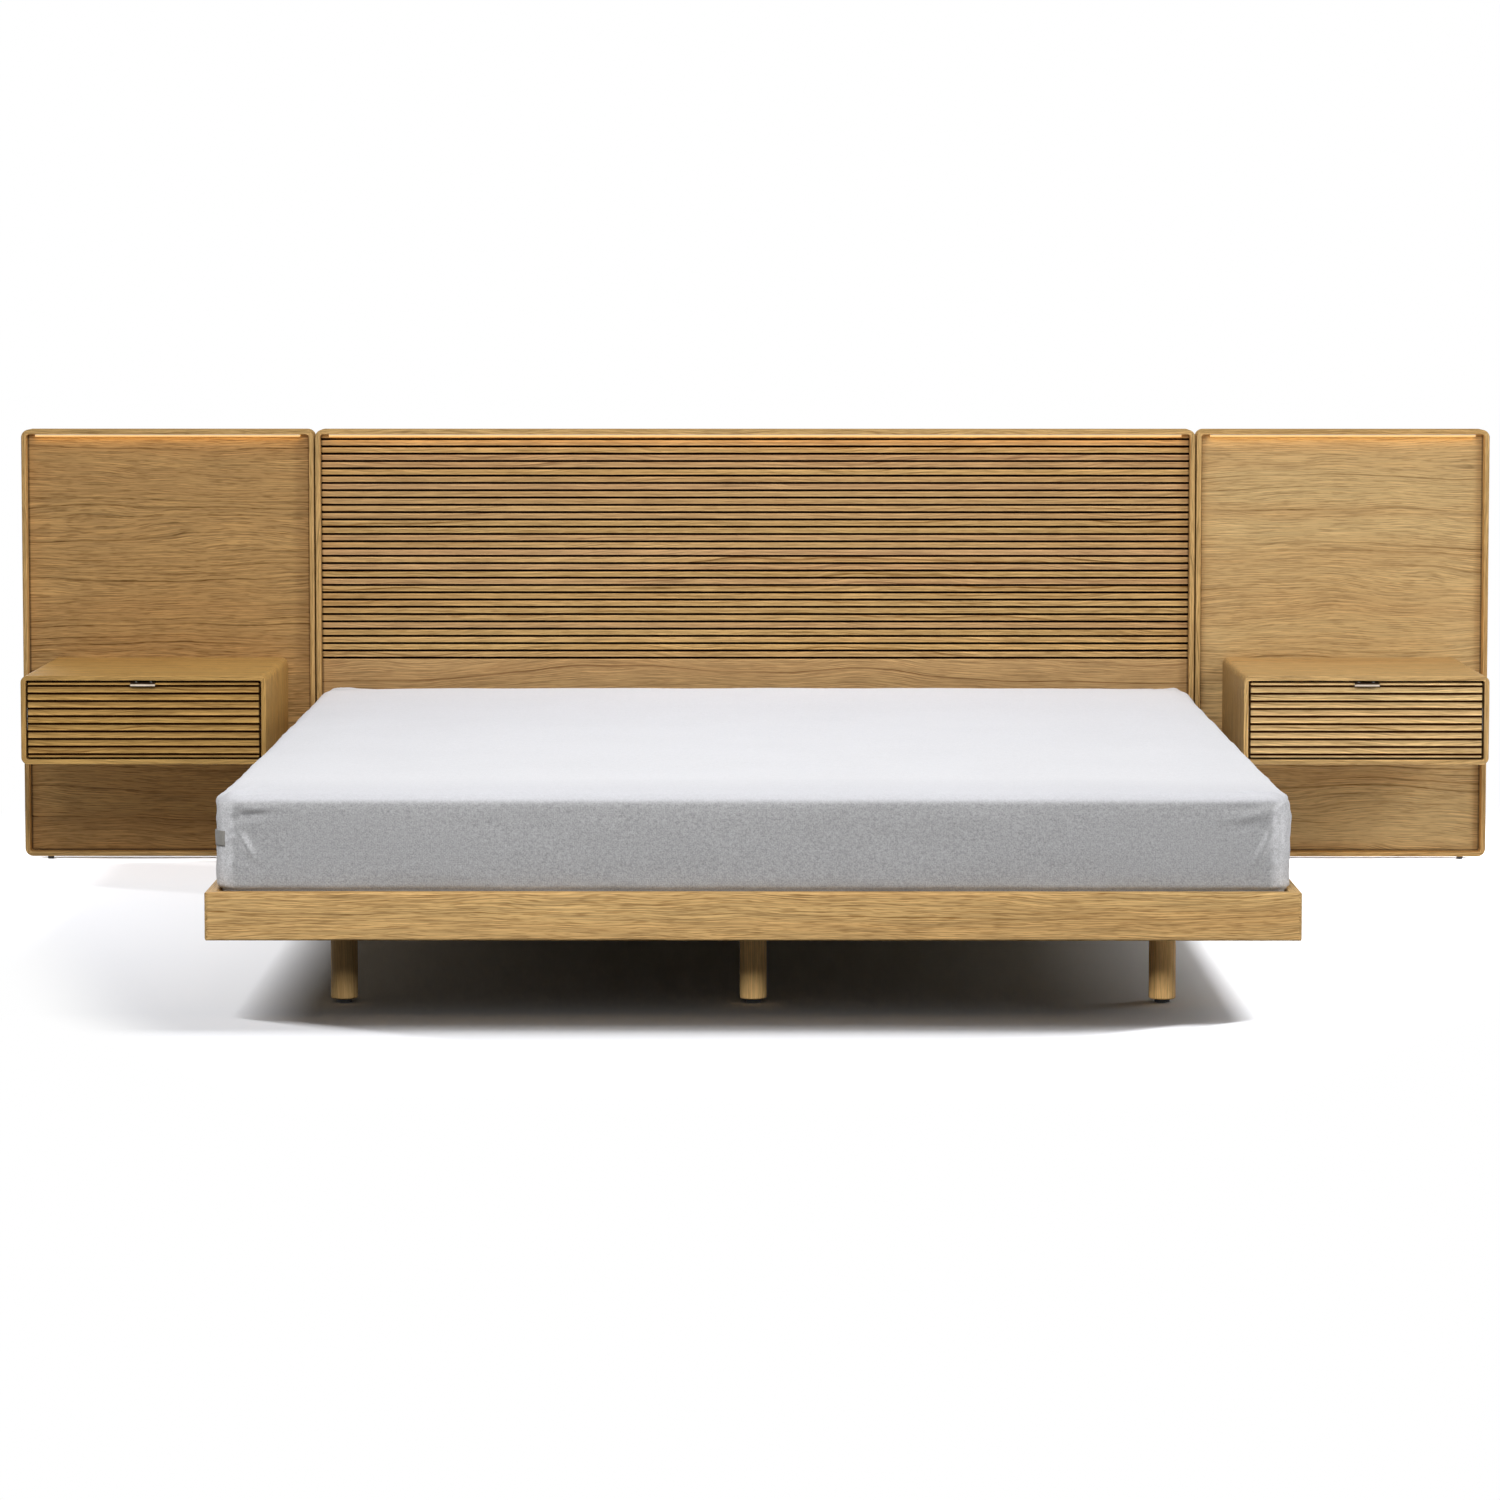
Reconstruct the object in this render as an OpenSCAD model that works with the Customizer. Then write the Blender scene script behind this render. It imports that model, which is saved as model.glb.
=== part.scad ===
// Low platform bed with a three-panel oak headboard and two hanging nightstands.
// The origin lies on the floor in the middle of the footprint. The foot of the bed
// points to -Y, the wall is at +Y and +Z is up. All sizes are in millimetres.

/* [Mattress] */
// Width of the mattress
mattress_w = 1800; // [1400:10:2000]
// Length of the mattress
mattress_l = 2000; // [1900:10:2200]
// Thickness of the mattress at the top of its crown
mattress_h = 222; // [180:2:280]
// Depth to which the mattress sits below the top of the rails
mattress_sink = 50; // [40:1:60]
// Rise of the top from its edge to its middle
mattress_crown = 10; // [4:1:20]
// Rounding of the top edge
mattress_edge_r = 20; // [15:1:40]
// Rounding of the four upright corners
mattress_corner_r = 40; // [30:5:90]
// How far the sides pull in between the corners
mattress_draw = 5; // [2:1:12]
// How far the sides swell above the rails
mattress_swell = 4; // [0:1:8]
// Clearance between the mattress and the rails, on each side
mattress_gap = 3; // [2:0.5:10]
// Clearance between the mattress and the slats
seat_gap = 0.3; // [0.2:0.1:1]

/* [Rails] */
// Thickness of the rails
rail_t = 22; // [18:1:35]
// Height of the rails
rail_h = 82; // [76:1:140]
// Height of the rails' underside above the floor
rail_z = 122; // [80:1:250]
// Rounding of the rails' long edges
rail_edge_r = 4; // [1:0.5:5]
// Rounding of the bed's upright corners
rail_corner_r = 8; // [4:1:15]

/* [Slats and supports] */
// Thickness of a slat
slat_t = 8; // [6:0.5:12]
// Width of a slat
slat_w = 68; // [40:2:90]
// Number of slats in each row
slat_count = 14; // [8:1:18]
// Distance from the end rails to the middle of the first slat
slat_end = 78; // [60:1:120]
// Space between the end of a slat and the rail or the other row
slat_gap = 3; // [1:0.5:10]
// Width of the ledgers under the ends of the slats
ledger_w = 30; // [20:1:45]
// Width of the centre beam
beam_w = 60; // [40:2:90]
// Width of a cross bearer
bearer_w = 70; // [60:2:76]
// Clearance in a halved joint, on each side
halving_fit = 0.2; // [0.1:0.1:0.5]

/* [Legs] */
// Diameter of a leg
leg_d = 46; // [35:1:60]
// Distance from the sides of the bed to the middle of an outer leg
leg_side = 225; // [150:5:400]
// Distance from the ends of the bed to the middle of the nearest row of legs
leg_inset = 125; // [120:5:300]
// Rounding of a leg's lower edge
leg_edge_r = 3; // [1:0.5:6]
// Height of the glide under a leg
leg_glide_h = 6; // [4:0.5:12]
// Diameter of the glide under a leg
leg_glide_d = 26; // [18:1:34]

/* [Headboard] */
// Width of each side panel
side_w = 615; // [560:5:900]
// Height of the panels
panel_h = 902; // [700:2:1200]
// Depth of the panels from front edge to wall
panel_d = 60; // [56:1:90]
// Thickness of the edge frames and of the nightstand shells
edge_t = 10; // [8:0.5:14]
// Outer corner radius of the edge frames
edge_r = 17; // [15:1:30]
// Rounding of the front arrises
arris_r = 2; // [1:0.5:3]
// Gap between neighbouring panels
panel_gap = 3; // [2:0.5:8]
// Depth of the boards behind the front edge
recess = 25; // [22:1:30]
// Thickness of the boards
board_t = 18; // [16:1:20]
// Clearance around a board in its frame
board_fit = 0.3; // [0.2:0.1:0.6]
// Height of the glides under the headboard
panel_glide_h = 8; // [5:0.5:15]
// Diameter of the glides under the headboard
panel_glide_d = 13; // [10:0.5:20]
// Distance from the side of a panel to the middle of its glide
panel_glide_inset = 50; // [30:1:80]
// Width of the battens behind the boards
batten_w = 50; // [40:1:70]

/* [Flutes] */
// Distance between neighbouring grooves
flute_pitch = 15.4; // [12:0.1:20]
// Number of grooves in the headboard
flute_count = 31; // [10:1:40]
// Distance from the top of the headboard to the middle of the first groove
flute_top = 20.8; // [18:0.1:40]
// Width of the slot at the bottom of a groove
flute_slot = 1.8; // [1:0.1:3]
// Depth of a groove
flute_depth = 5; // [3.5:0.1:7]
// Radius of the rounded slat edges beside a groove
flute_r = 3; // [1.5:0.1:3.5]

/* [Lights] */
// Depth of a light channel from front to back
light_d = 12; // [8:1:14]
// Height of a light channel
light_h = 5; // [4:0.5:8]
// Thickness of the channel's metal
light_t = 1; // [0.8:0.1:1.5]
// Distance of a channel behind the front edge of the panel
light_set = 6; // [3:0.5:8]
// Distance from the ends of a channel to the frame
light_end = 19; // [10:1:40]

/* [Nightstands] */
// Width of a nightstand
stand_w = 496; // [440:2:520]
// Height of a nightstand
stand_h = 180; // [160:2:240]
// Depth of a nightstand in front of its board
stand_d = 450; // [440:5:500]
// Height of a nightstand's underside above the floor
stand_z = 248; // [200:2:400]
// Outer corner radius of a nightstand
stand_r = 14; // [12:0.5:22]
// Thickness of a nightstand's back panel
stand_back_t = 16; // [12:1:18]
// Distance from a nightstand's middle to its bolts, sideways
bolt_x = 150; // [100:5:170]
// Distance from a nightstand's middle to its bolts, up and down
bolt_z = 40; // [30:1:45]
// Thickness of the steel plate behind a board
plate_t = 3; // [2:0.5:4]

/* [Drawers] */
// Gap around a drawer front
front_gap = 3.5; // [2:0.5:5]
// Thickness of a drawer front
front_t = 18; // [16:0.5:22]
// Distance of a drawer front behind the shell's front edge
front_set = 1.5; // [0:0.5:3]
// Corner radius of a drawer front
front_r = 6; // [1:0.5:8]
// Height of the drawer's sides
box_h = 110; // [90:1:120]
// Free depth between the drawer's box and the nightstand's back panel
box_room = 24.5; // [14:0.5:40]
// Thickness of the drawer's sides and back
box_t = 12; // [10:0.5:15]
// Thickness of the drawer's bottom
bottom_t = 6; // [4:0.5:8]
// Depth of the groove that holds the drawer's bottom
bottom_groove = 5; // [3:0.5:6]
// Height of the drawer's bottom above the lower edge of the sides
bottom_up = 8; // [6:0.5:12]
// Width of a pull
pull_w = 50; // [30:1:90]
// Thickness of a pull's metal
pull_t = 1.5; // [1:0.1:2]
// How far a pull stands in front of the drawer
pull_out = 10; // [6:0.5:16]
// Height of a pull's folded lip
pull_lip = 9; // [6:0.5:14]
// Width of the pull's flange on top of the drawer front
pull_flange = 14; // [12:0.5:15]

/* [Runners] */
// How far the runners end before the drawer's back
runner_room = 10; // [5:1:40]
// Height of a runner
runner_h = 45; // [40:1:50]
// Space between the shell and the drawer's side
runner_space = 12.7; // [12.7:0.1:14]
// Thickness of the runners' steel
runner_t = 1.5; // [1.2:0.1:1.5]
// Running clearance between the runners' members
runner_fit = 0.5; // [0.3:0.1:0.8]

/* [Hidden] */
$fn = 48;
// Overshoot of a cut past the face that it opens
over = 1;
LEFT = -1;
RIGHT = 1;

// Finishes
OAK = "#C9A36B";
OAK_DARK = "#B98F58";
PLY = "#D9C3A0";
PINE = "#E2CFA8";
STEEL = "#8E9194";
BLACK = "#2A2A2B";
BRONZE = "#7A6A58";
ALUMINIUM = "#B9BCC0";
OPAL = "#FFE9C4";
LINEN = "#E9EAED";

// Bed
bed_w = mattress_w + 2 * (mattress_gap + rail_t);
bed_l = mattress_l + 2 * (mattress_gap + rail_t);
inner_w = bed_w - 2 * rail_t;
inner_l = bed_l - 2 * rail_t;
rail_top_z = rail_z + rail_h;
mattress_z = rail_top_z - mattress_sink;
slat_z = mattress_z - seat_gap - slat_t;
support_h = slat_z - rail_z;

// Places along the bed, from the foot to the wall
total_l = bed_l + panel_d;
foot_y = -total_l / 2;
wall_y = total_l / 2;
front_y = wall_y - panel_d;
board_y = front_y + recess;
board_back_y = board_y + board_t;
cavity_d = wall_y - board_back_y;
bed_y = foot_y + bed_l / 2;
inner_foot_y = bed_y - inner_l / 2;

// Headboard
panel_top_z = panel_glide_h + panel_h;
panel_mid_z = panel_glide_h + panel_h / 2;
side_x = bed_w / 2 + panel_gap + side_w / 2;
joint_x = bed_w / 2 + panel_gap / 2;
PANELS = [[0, bed_w], [-side_x, side_w], [side_x, side_w]];
batten_top_z = panel_top_z - edge_t - board_fit;
batten_low_z = panel_glide_h + edge_t + board_fit;
// Free space between a frame and the upright battens, for the joining bolts
batten_side = 22;

// Nightstands
stand_mid_z = stand_z + stand_h / 2;
stand_front_y = board_y - stand_d;
stand_back_y = board_y - stand_back_t;
drawer_y = stand_front_y + front_set;
front_w = stand_w - 2 * (edge_t + front_gap);
front_h = stand_h - 2 * (edge_t + front_gap);
front_top_z = stand_mid_z + front_h / 2;
// Least distance from a front's first groove to its edge
front_margin = 6;
front_flutes = floor((front_h - 2 * front_margin) / flute_pitch) + 1;
box_y = drawer_y + front_t;
box_l = stand_back_y - box_room - box_y;
runner_l = box_l - runner_room;
box_w = stand_w - 2 * edge_t - 2 * runner_space;
box_z = stand_mid_z - box_h / 2;

// Runner members, across the space from the shell's wall to the drawer's side
runner_flange = 9.5;
middle_x = 4;
middle_flange = 7;
inner_flange = 6.7;
middle_h = runner_h - 2 * (runner_t + runner_fit);
inner_h = middle_h - 2 * (runner_t + runner_fit);
// The runners' screws, as distances from the runners' front end
runner_holes = [40, runner_l / 2, runner_l - 40];

// Fasteners
bore_fit = 0.2;
frame_screw_d = 6;
frame_screw_l = 18;
frame_screw_head = [11, 3.2];
small_screw_d = 3.5;
small_screw_l = 9;
small_screw_head = [7, 1.8];
pull_screw_d = 3;
pull_screw_l = 12;
pull_screw_head = [5.5, 1.2];
pull_screw_x = 15;
pull_screw_y = pull_flange / 2 + 1;
stand_bolt_d = 8;
stand_bolt_head = [14, 5];
stand_nut = [14, 6.5];
// Steel beyond the bolts on a nightstand's plate, sideways and up and down
plate_edge = [30, 20];
leg_bolt_d = 8;
leg_bolt_in = 40;
leg_bolt_head = [16, 4];
leg_bolt_sink = 5;
leg_bolt_room_d = leg_bolt_head[0] + 2;
joining_bolt_d = 6;
joining_bolt_head = [12, 3];
joining_z = [for (part = [1:3]) panel_glide_h + panel_h * part / 4];

// Corner brackets, which stay below the slats
bracket_leg = 60;
bracket_t = 3;
bracket_h = support_h - 2;
bracket_z = rail_z + 1;
bracket_holes = [20, 45];

// Brackets between the bed and the headboard
bed_bracket_x = 500;
bed_bracket_w = 60;
bed_bracket_h = 60;
bed_bracket_z = rail_z + 10;

// Wall hangers
hanger_w = 70;
hanger_h = 36;
hanger_t = 2.5;
hanger_hole_d = 7;
hanger_head_d = 16;
hanger_head_l = 9;
hanger_z = batten_top_z - batten_w / 2;
hanger_x = [-side_x, -bed_w / 3, bed_w / 3, side_x];

// Cable grommet in the right panel's lower batten
grommet_d = 14;
grommet_hole_d = 8;
grommet_z = batten_low_z + batten_w / 2;

// Ledgers stop short of the corner brackets
ledger_end = bracket_leg + 2;
leg_rows = [foot_y + leg_inset, bed_y, foot_y + bed_l - leg_inset];

// ---------- Shared shapes ----------

// Radius inside a rounded corner
function inner_r(r, inset) = max(r - inset, 0.5);

// Flat rounded rectangle, centred
module rounded_plate(w, h, r) {
    square([w - 2 * r, h], center = true);
    square([w, h - 2 * r], center = true);
    for (x = [-1, 1], y = [-1, 1])
        translate([x * (w / 2 - r), y * (h / 2 - r)]) circle(r);
}

// Stands a flat shape up, with its back at y and its thickness towards the foot
module stand_up(y, z) {
    translate([0, y, z]) rotate([90, 0, 0]) children();
}

// Section of an edge frame, with its two front arrises rounded
module edge_section(t, d, r) {
    square([t, d - r]);
    translate([r, 0]) square([t - 2 * r, d]);
    for (x = [r, t - r]) translate([x, d - r]) circle(r);
}

// Closed edge frame, drawn flat with its front on top
module edge_ring(w, h, r, t, d) {
    for (turn = [0:3]) {
        reach = turn % 2 == 0 ? w : h;
        run = turn % 2 == 0 ? h : w;
        rotate(90 * turn) {
            translate([reach / 2 - t, run / 2 - r, 0])
                rotate([90, 0, 0])
                    linear_extrude(run - 2 * r) edge_section(t, d, arris_r);
            translate([reach / 2 - r, run / 2 - r, 0])
                rotate_extrude(angle = 90)
                    translate([r - t, 0]) edge_section(t, d, arris_r);
        }
    }
}

// Section of one groove, with its mouth at y = 0 and a rounded shoulder on each side
module groove_section() {
    // The shoulders cut the face at a slight angle
    lift = 0.3;
    shoulder_x = flute_slot / 2 + flute_r;
    shoulder_y = lift - flute_r;
    translate([-flute_slot / 2, -flute_depth])
        square([flute_slot, flute_depth + over]);
    difference() {
        translate([-shoulder_x, shoulder_y]) square([2 * shoulder_x, over - shoulder_y]);
        for (side = [-1, 1]) translate([side * shoulder_x, shoulder_y]) circle(flute_r);
    }
}

// Cutter for grooves along X, in a face that looks towards the foot
module grooves(length, count, y, top_z) {
    for (i = [0:count - 1])
        translate([0, y, top_z - i * flute_pitch])
            rotate(a = 180, v = [1, 0, 1])
                linear_extrude(length, center = true) groove_section();
}

// Round bar along Y
module bar_y(d, y_from, y_to) {
    translate([0, y_to, 0]) rotate([90, 0, 0]) cylinder(d = d, h = y_to - y_from);
}

// Screw whose head rests on z = 0 and whose shank points to +Z
module screw(d, length, head) {
    cylinder(d = d, h = length);
    translate([0, 0, -head[1]]) cylinder(d = head[0], h = head[1]);
}

// Bore for the shank of a screw
module screw_bore(d, length) {
    translate([0, 0, -over]) cylinder(d = d + 2 * bore_fit, h = length + over + bore_fit);
}

// ---------- Headboard ----------

module panel_frame(panel) {
    color(OAK) difference() {
        stand_up(wall_y, panel_mid_z) translate([panel[0], 0, 0])
            edge_ring(panel[1], panel_h, edge_r, edge_t, panel_d);
        joining_bores();
    }
}

module panel_plate(panel) {
    inset = edge_t + board_fit;
    stand_up(board_back_y, panel_mid_z) translate([panel[0], 0, 0])
        linear_extrude(board_t)
            rounded_plate(panel[1] - 2 * inset, panel_h - 2 * inset, inner_r(edge_r, inset));
}

module centre_panel_board() {
    color(OAK_DARK) difference() {
        panel_plate(PANELS[0]);
        grooves(bed_w, flute_count, board_y, panel_top_z - flute_top);
        bed_bracket_bores();
    }
}

module side_panel_board(side) {
    color(OAK) difference() {
        panel_plate([side * side_x, side_w]);
        stand_bolt_bores(side);
    }
}

module at_joining_bolts() {
    for (side = [-1, 1], z = joining_z)
        translate([side * joint_x, board_back_y + cavity_d / 2, z]) rotate([0, 90, 0]) children();
}

module joining_bores() {
    at_joining_bolts()
        cylinder(d = joining_bolt_d + 2 * bore_fit, h = panel_gap + 2 * edge_t + 2 * over, center = true);
}

module joining_bolts() {
    grip = panel_gap + 2 * edge_t;
    color(STEEL) at_joining_bolts() {
        cylinder(d = joining_bolt_d, h = grip + 2 * joining_bolt_head[1], center = true);
        for (end = [-1, 1])
            translate([0, 0, end * (grip + joining_bolt_head[1]) / 2])
                cylinder(d = joining_bolt_head[0], h = joining_bolt_head[1], center = true);
    }
}

// One light channel runs under the top of each frame, and this places its parts
module at_lights() {
    for (panel = PANELS)
        translate([panel[0], front_y + light_set, panel_top_z - edge_t])
            rotate([90, 0, 90])
                linear_extrude(panel[1] - 2 * (edge_t + light_end), center = true) children();
}

module light_channels() {
    color(ALUMINIUM) at_lights() {
        translate([0, -light_t]) square([light_d, light_t]);
        translate([light_d - light_t, -light_h]) square([light_t, light_h]);
    }
}

module light_diffusers() {
    color(OPAL) at_lights()
        translate([0, -light_h]) square([light_d - light_t, light_h - light_t]);
}

module batten(x, z, w, h) {
    translate([x - w / 2, board_back_y, z]) cube([w, cavity_d, h]);
}

module back_battens() {
    upright_h = batten_top_z - batten_low_z - 2 * batten_w;
    color(PINE) difference() {
        for (panel = PANELS) {
            // The battens end where the frame's corners begin to turn
            run = panel[1] - 2 * edge_r;
            batten(panel[0], batten_top_z - batten_w, run, batten_w);
            batten(panel[0], batten_low_z, run, batten_w);
            for (side = [-1, 1])
                batten(panel[0] + side * (run / 2 - batten_side - batten_w / 2),
                       batten_low_z + batten_w, batten_w, upright_h);
        }
        at_hangers() {
            translate([0, -hanger_t - bore_fit, 0])
                rotate([-90, 0, 0])
                    linear_extrude(hanger_t + bore_fit + over)
                        square([hanger_w + 2 * bore_fit, hanger_h + 2 * bore_fit], center = true);
            bar_y(hanger_head_d, -hanger_t - hanger_head_l, 0);
        }
        at_grommet() bar_y(grommet_d, -cavity_d - over, over);
    }
}

module at_hangers() {
    for (x = hanger_x) translate([x, wall_y, hanger_z]) children();
}

module wall_hangers() {
    color(STEEL) at_hangers() difference() {
        translate([-hanger_w / 2, -hanger_t, -hanger_h / 2]) cube([hanger_w, hanger_t, hanger_h]);
        bar_y(hanger_hole_d, -hanger_t - over, over);
    }
}

module at_grommet() {
    translate([side_x, wall_y, grommet_z]) children();
}

module cable_grommet() {
    color(BLACK) at_grommet() difference() {
        bar_y(grommet_d, -cavity_d, 0);
        bar_y(grommet_hole_d, -cavity_d - over, over);
    }
}

module headboard_glides() {
    color(BLACK) for (panel = PANELS, side = [-1, 1])
        translate([panel[0] + side * (panel[1] / 2 - panel_glide_inset), wall_y - panel_d / 2, 0])
            cylinder(d = panel_glide_d, h = panel_glide_h);
}

// ---------- Brackets between the bed and the headboard ----------

// Screws into the head rail and screws into the board
module at_bed_bracket_screws() {
    for (side = [-1, 1], x = [-1, 1]) {
        translate([side * bed_bracket_x + x * bed_bracket_w / 4, 0, 0]) {
            translate([0, front_y + bracket_t, bed_bracket_z + bed_bracket_h * 2 / 3])
                rotate([90, 0, 0]) children();
            translate([0, board_y - bracket_t, bed_bracket_z + bed_bracket_h / 3])
                rotate([-90, 0, 0]) children();
        }
    }
}

module bed_bracket_bores() {
    at_bed_bracket_screws() screw_bore(frame_screw_d, frame_screw_l);
}

module bed_brackets() {
    color(STEEL) difference() {
        for (side = [-1, 1])
            translate([side * bed_bracket_x - bed_bracket_w / 2, front_y, bed_bracket_z]) {
                cube([bed_bracket_w, bracket_t, bed_bracket_h]);
                cube([bed_bracket_w, recess, bracket_t]);
                translate([0, recess - bracket_t, 0])
                    cube([bed_bracket_w, bracket_t, bed_bracket_h]);
            }
        bed_bracket_bores();
    }
}

// ---------- Nightstands ----------

module at_stand_bolts(side) {
    for (x = [-1, 1], z = [-1, 1])
        translate([side * side_x + x * bolt_x, 0, stand_mid_z + z * bolt_z]) children();
}

module stand_bolt_bores(side) {
    at_stand_bolts(side)
        bar_y(stand_bolt_d + 2 * bore_fit, stand_back_y - over, board_back_y + plate_t + over);
}

module nightstand_bolts() {
    color(STEEL) for (side = [LEFT, RIGHT]) at_stand_bolts(side) {
        bar_y(stand_bolt_head[0], stand_back_y - stand_bolt_head[1], stand_back_y);
        bar_y(stand_bolt_d, stand_back_y, board_back_y + plate_t + stand_nut[1]);
        translate([0, board_back_y + plate_t, 0]) rotate([-90, 0, 0])
            cylinder(d = stand_nut[0], h = stand_nut[1], $fn = 6);
    }
}

module nightstand_plates() {
    plate_w = 2 * (bolt_x + plate_edge[0]);
    plate_h = 2 * (bolt_z + plate_edge[1]);
    color(STEEL) for (side = [LEFT, RIGHT]) difference() {
        translate([side * side_x - plate_w / 2, board_back_y, stand_mid_z - plate_h / 2])
            cube([plate_w, plate_t, plate_h]);
        stand_bolt_bores(side);
    }
}

module nightstand_shell(side) {
    color(OAK) difference() {
        stand_up(board_y, stand_mid_z) translate([side * side_x, 0, 0])
            edge_ring(stand_w, stand_h, stand_r, edge_t, stand_d);
        at_runner_screws(side) screw_bore(small_screw_d, small_screw_l);
    }
}

module nightstand_back(side) {
    inset = edge_t + board_fit;
    color(OAK_DARK) difference() {
        stand_up(board_y, stand_mid_z) translate([side * side_x, 0, 0])
            linear_extrude(stand_back_t)
                rounded_plate(stand_w - 2 * inset, stand_h - 2 * inset, inner_r(stand_r, inset));
        stand_bolt_bores(side);
    }
}

// ---------- Runners ----------

// Puts a runner member on each side of a drawer. Its section is drawn with x from the
// shell's wall towards the drawer and y up.
module at_runners(side) {
    for (hand = [0, 1])
        translate([side * side_x, box_y, stand_mid_z]) mirror([hand, 0, 0])
            translate([edge_t - stand_w / 2, 0, 0]) children();
}

module runner_channel(x, reach, h) {
    translate([x, -h / 2]) square([runner_t, h]);
    for (y = [-h / 2, h / 2 - runner_t]) translate([x, y]) square([reach, runner_t]);
}

module runner_member() {
    translate([0, runner_l, 0]) rotate([90, 0, 0]) linear_extrude(runner_l) children();
}

// Screws through the outer members, towards the shell
module at_runner_screws(side) {
    at_runners(side) for (y = runner_holes)
        translate([runner_t, y, 0]) rotate([0, -90, 0]) children();
}

// Screws through the inner members, towards the drawer
module at_drawer_screws(side) {
    at_runners(side) for (y = runner_holes)
        translate([runner_space - runner_t, y, 0]) rotate([0, 90, 0]) children();
}

module outer_runners(side) {
    color(STEEL) difference() {
        at_runners(side) runner_member() runner_channel(0, runner_flange, runner_h);
        at_runner_screws(side) screw_bore(small_screw_d, small_screw_l);
    }
}

module middle_runners(side) {
    color(STEEL) at_runners(side) runner_member()
        runner_channel(middle_x, middle_flange, middle_h);
}

module inner_runners(side) {
    color(STEEL) difference() {
        at_runners(side) runner_member() translate([runner_space, 0]) mirror([1, 0])
            runner_channel(0, inner_flange, inner_h);
        at_drawer_screws(side) screw_bore(small_screw_d, small_screw_l);
    }
}

module runner_screws() {
    color(STEEL) for (side = [LEFT, RIGHT])
        at_runner_screws(side) screw(small_screw_d, small_screw_l, small_screw_head);
}

// ---------- Drawers ----------

module at_pull_screws(side) {
    for (x = [-1, 1])
        translate([side * side_x + x * pull_screw_x, drawer_y + pull_screw_y, front_top_z])
            rotate([180, 0, 0]) children();
}

module drawer_front(side) {
    seat_w = pull_w + 2 * bore_fit;
    color(OAK_DARK) difference() {
        stand_up(drawer_y + front_t, stand_mid_z) translate([side * side_x, 0, 0])
            linear_extrude(front_t) rounded_plate(front_w, front_h, front_r);
        translate([side * side_x, 0, 0])
            grooves(front_w + 2 * over, front_flutes, drawer_y,
                    stand_mid_z + (front_flutes - 1) * flute_pitch / 2);
        translate([side * side_x - seat_w / 2, drawer_y - over, front_top_z - pull_t])
            cube([seat_w, pull_flange + over + bore_fit, pull_t + over]);
        at_pull_screws(side) screw_bore(pull_screw_d, pull_screw_l);
    }
}

// Folded metal tab: a flange on top of the front, and a lip that hangs before it
module drawer_pull(side) {
    bend_r = 2.5;
    color(BRONZE) difference() {
        translate([side * side_x - pull_w / 2, drawer_y, front_top_z]) rotate([90, 0, 90])
            linear_extrude(pull_w) {
                translate([bend_r - pull_out, -pull_t])
                    square([pull_flange + pull_out - bend_r, pull_t]);
                translate([-pull_out, -pull_lip]) square([pull_t, pull_lip - bend_r]);
                translate([bend_r - pull_out, -bend_r]) intersection() {
                    difference() {
                        circle(bend_r);
                        circle(bend_r - pull_t);
                    }
                    translate([-bend_r, 0]) square(bend_r);
                }
            }
        at_pull_screws(side) screw_bore(pull_screw_d, pull_screw_l);
    }
}

module drawer_sides(side) {
    color(PLY) difference() {
        for (x = [-1, 1])
            translate([side * side_x + x * (box_w - box_t) / 2 - box_t / 2, box_y, box_z])
                cube([box_t, box_l, box_h]);
        translate([side * side_x - box_w / 2 + box_t - bottom_groove, box_y - over,
                   box_z + bottom_up])
            cube([box_w - 2 * (box_t - bottom_groove), box_l + 2 * over,
                  bottom_t + 2 * bore_fit]);
        at_drawer_screws(side) screw_bore(small_screw_d, small_screw_l);
    }
}

module drawer_back(side) {
    up = bottom_up + bottom_t + 2 * bore_fit;
    color(PLY)
        translate([side * side_x - box_w / 2 + box_t, box_y + box_l - box_t, box_z + up])
            cube([box_w - 2 * box_t, box_t, box_h - up]);
}

module drawer_bottom(side) {
    bottom_w = box_w - 2 * (box_t - bottom_groove + bore_fit);
    color(PLY) translate([side * side_x - bottom_w / 2, box_y, box_z + bottom_up])
        cube([bottom_w, box_l, bottom_t]);
}

module drawer_screws(side) {
    color(STEEL) {
        at_drawer_screws(side) screw(small_screw_d, small_screw_l, small_screw_head);
        at_pull_screws(side) screw(pull_screw_d, pull_screw_l, pull_screw_head);
    }
}

// ---------- Bed frame ----------

// A rail along X with its outer face at y = 0, mitred at both ends
module rail(length) {
    intersection() {
        linear_extrude(rail_h) intersection() {
            polygon([[-length / 2, 0], [length / 2, 0],
                     [length / 2 - rail_t, rail_t], [rail_t - length / 2, rail_t]]);
            translate([0, length / 2]) rounded_plate(length, length, rail_corner_r);
        }
        translate([0, rail_t / 2, rail_h / 2]) rotate([90, 0, 90])
            linear_extrude(length, center = true) rounded_plate(rail_t, rail_h, rail_edge_r);
    }
}

module placed_rail(turn, length, away) {
    color(OAK) difference() {
        translate([0, bed_y, rail_z]) rotate(turn) translate([0, -away / 2, 0]) rail(length);
        at_corner_screws() screw_bore(frame_screw_d, frame_screw_l);
        bed_bracket_bores();
    }
}

// Draws a piece in all four inner corners of the frame. The corner is at the origin
// and the bed lies on the -x and -y sides.
module at_corners() {
    for (x = [0, 1], y = [0, 1])
        translate([0, bed_y, 0]) mirror([x, 0, 0]) mirror([0, y, 0])
            translate([inner_w / 2, inner_l / 2, 0]) children();
}

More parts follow.
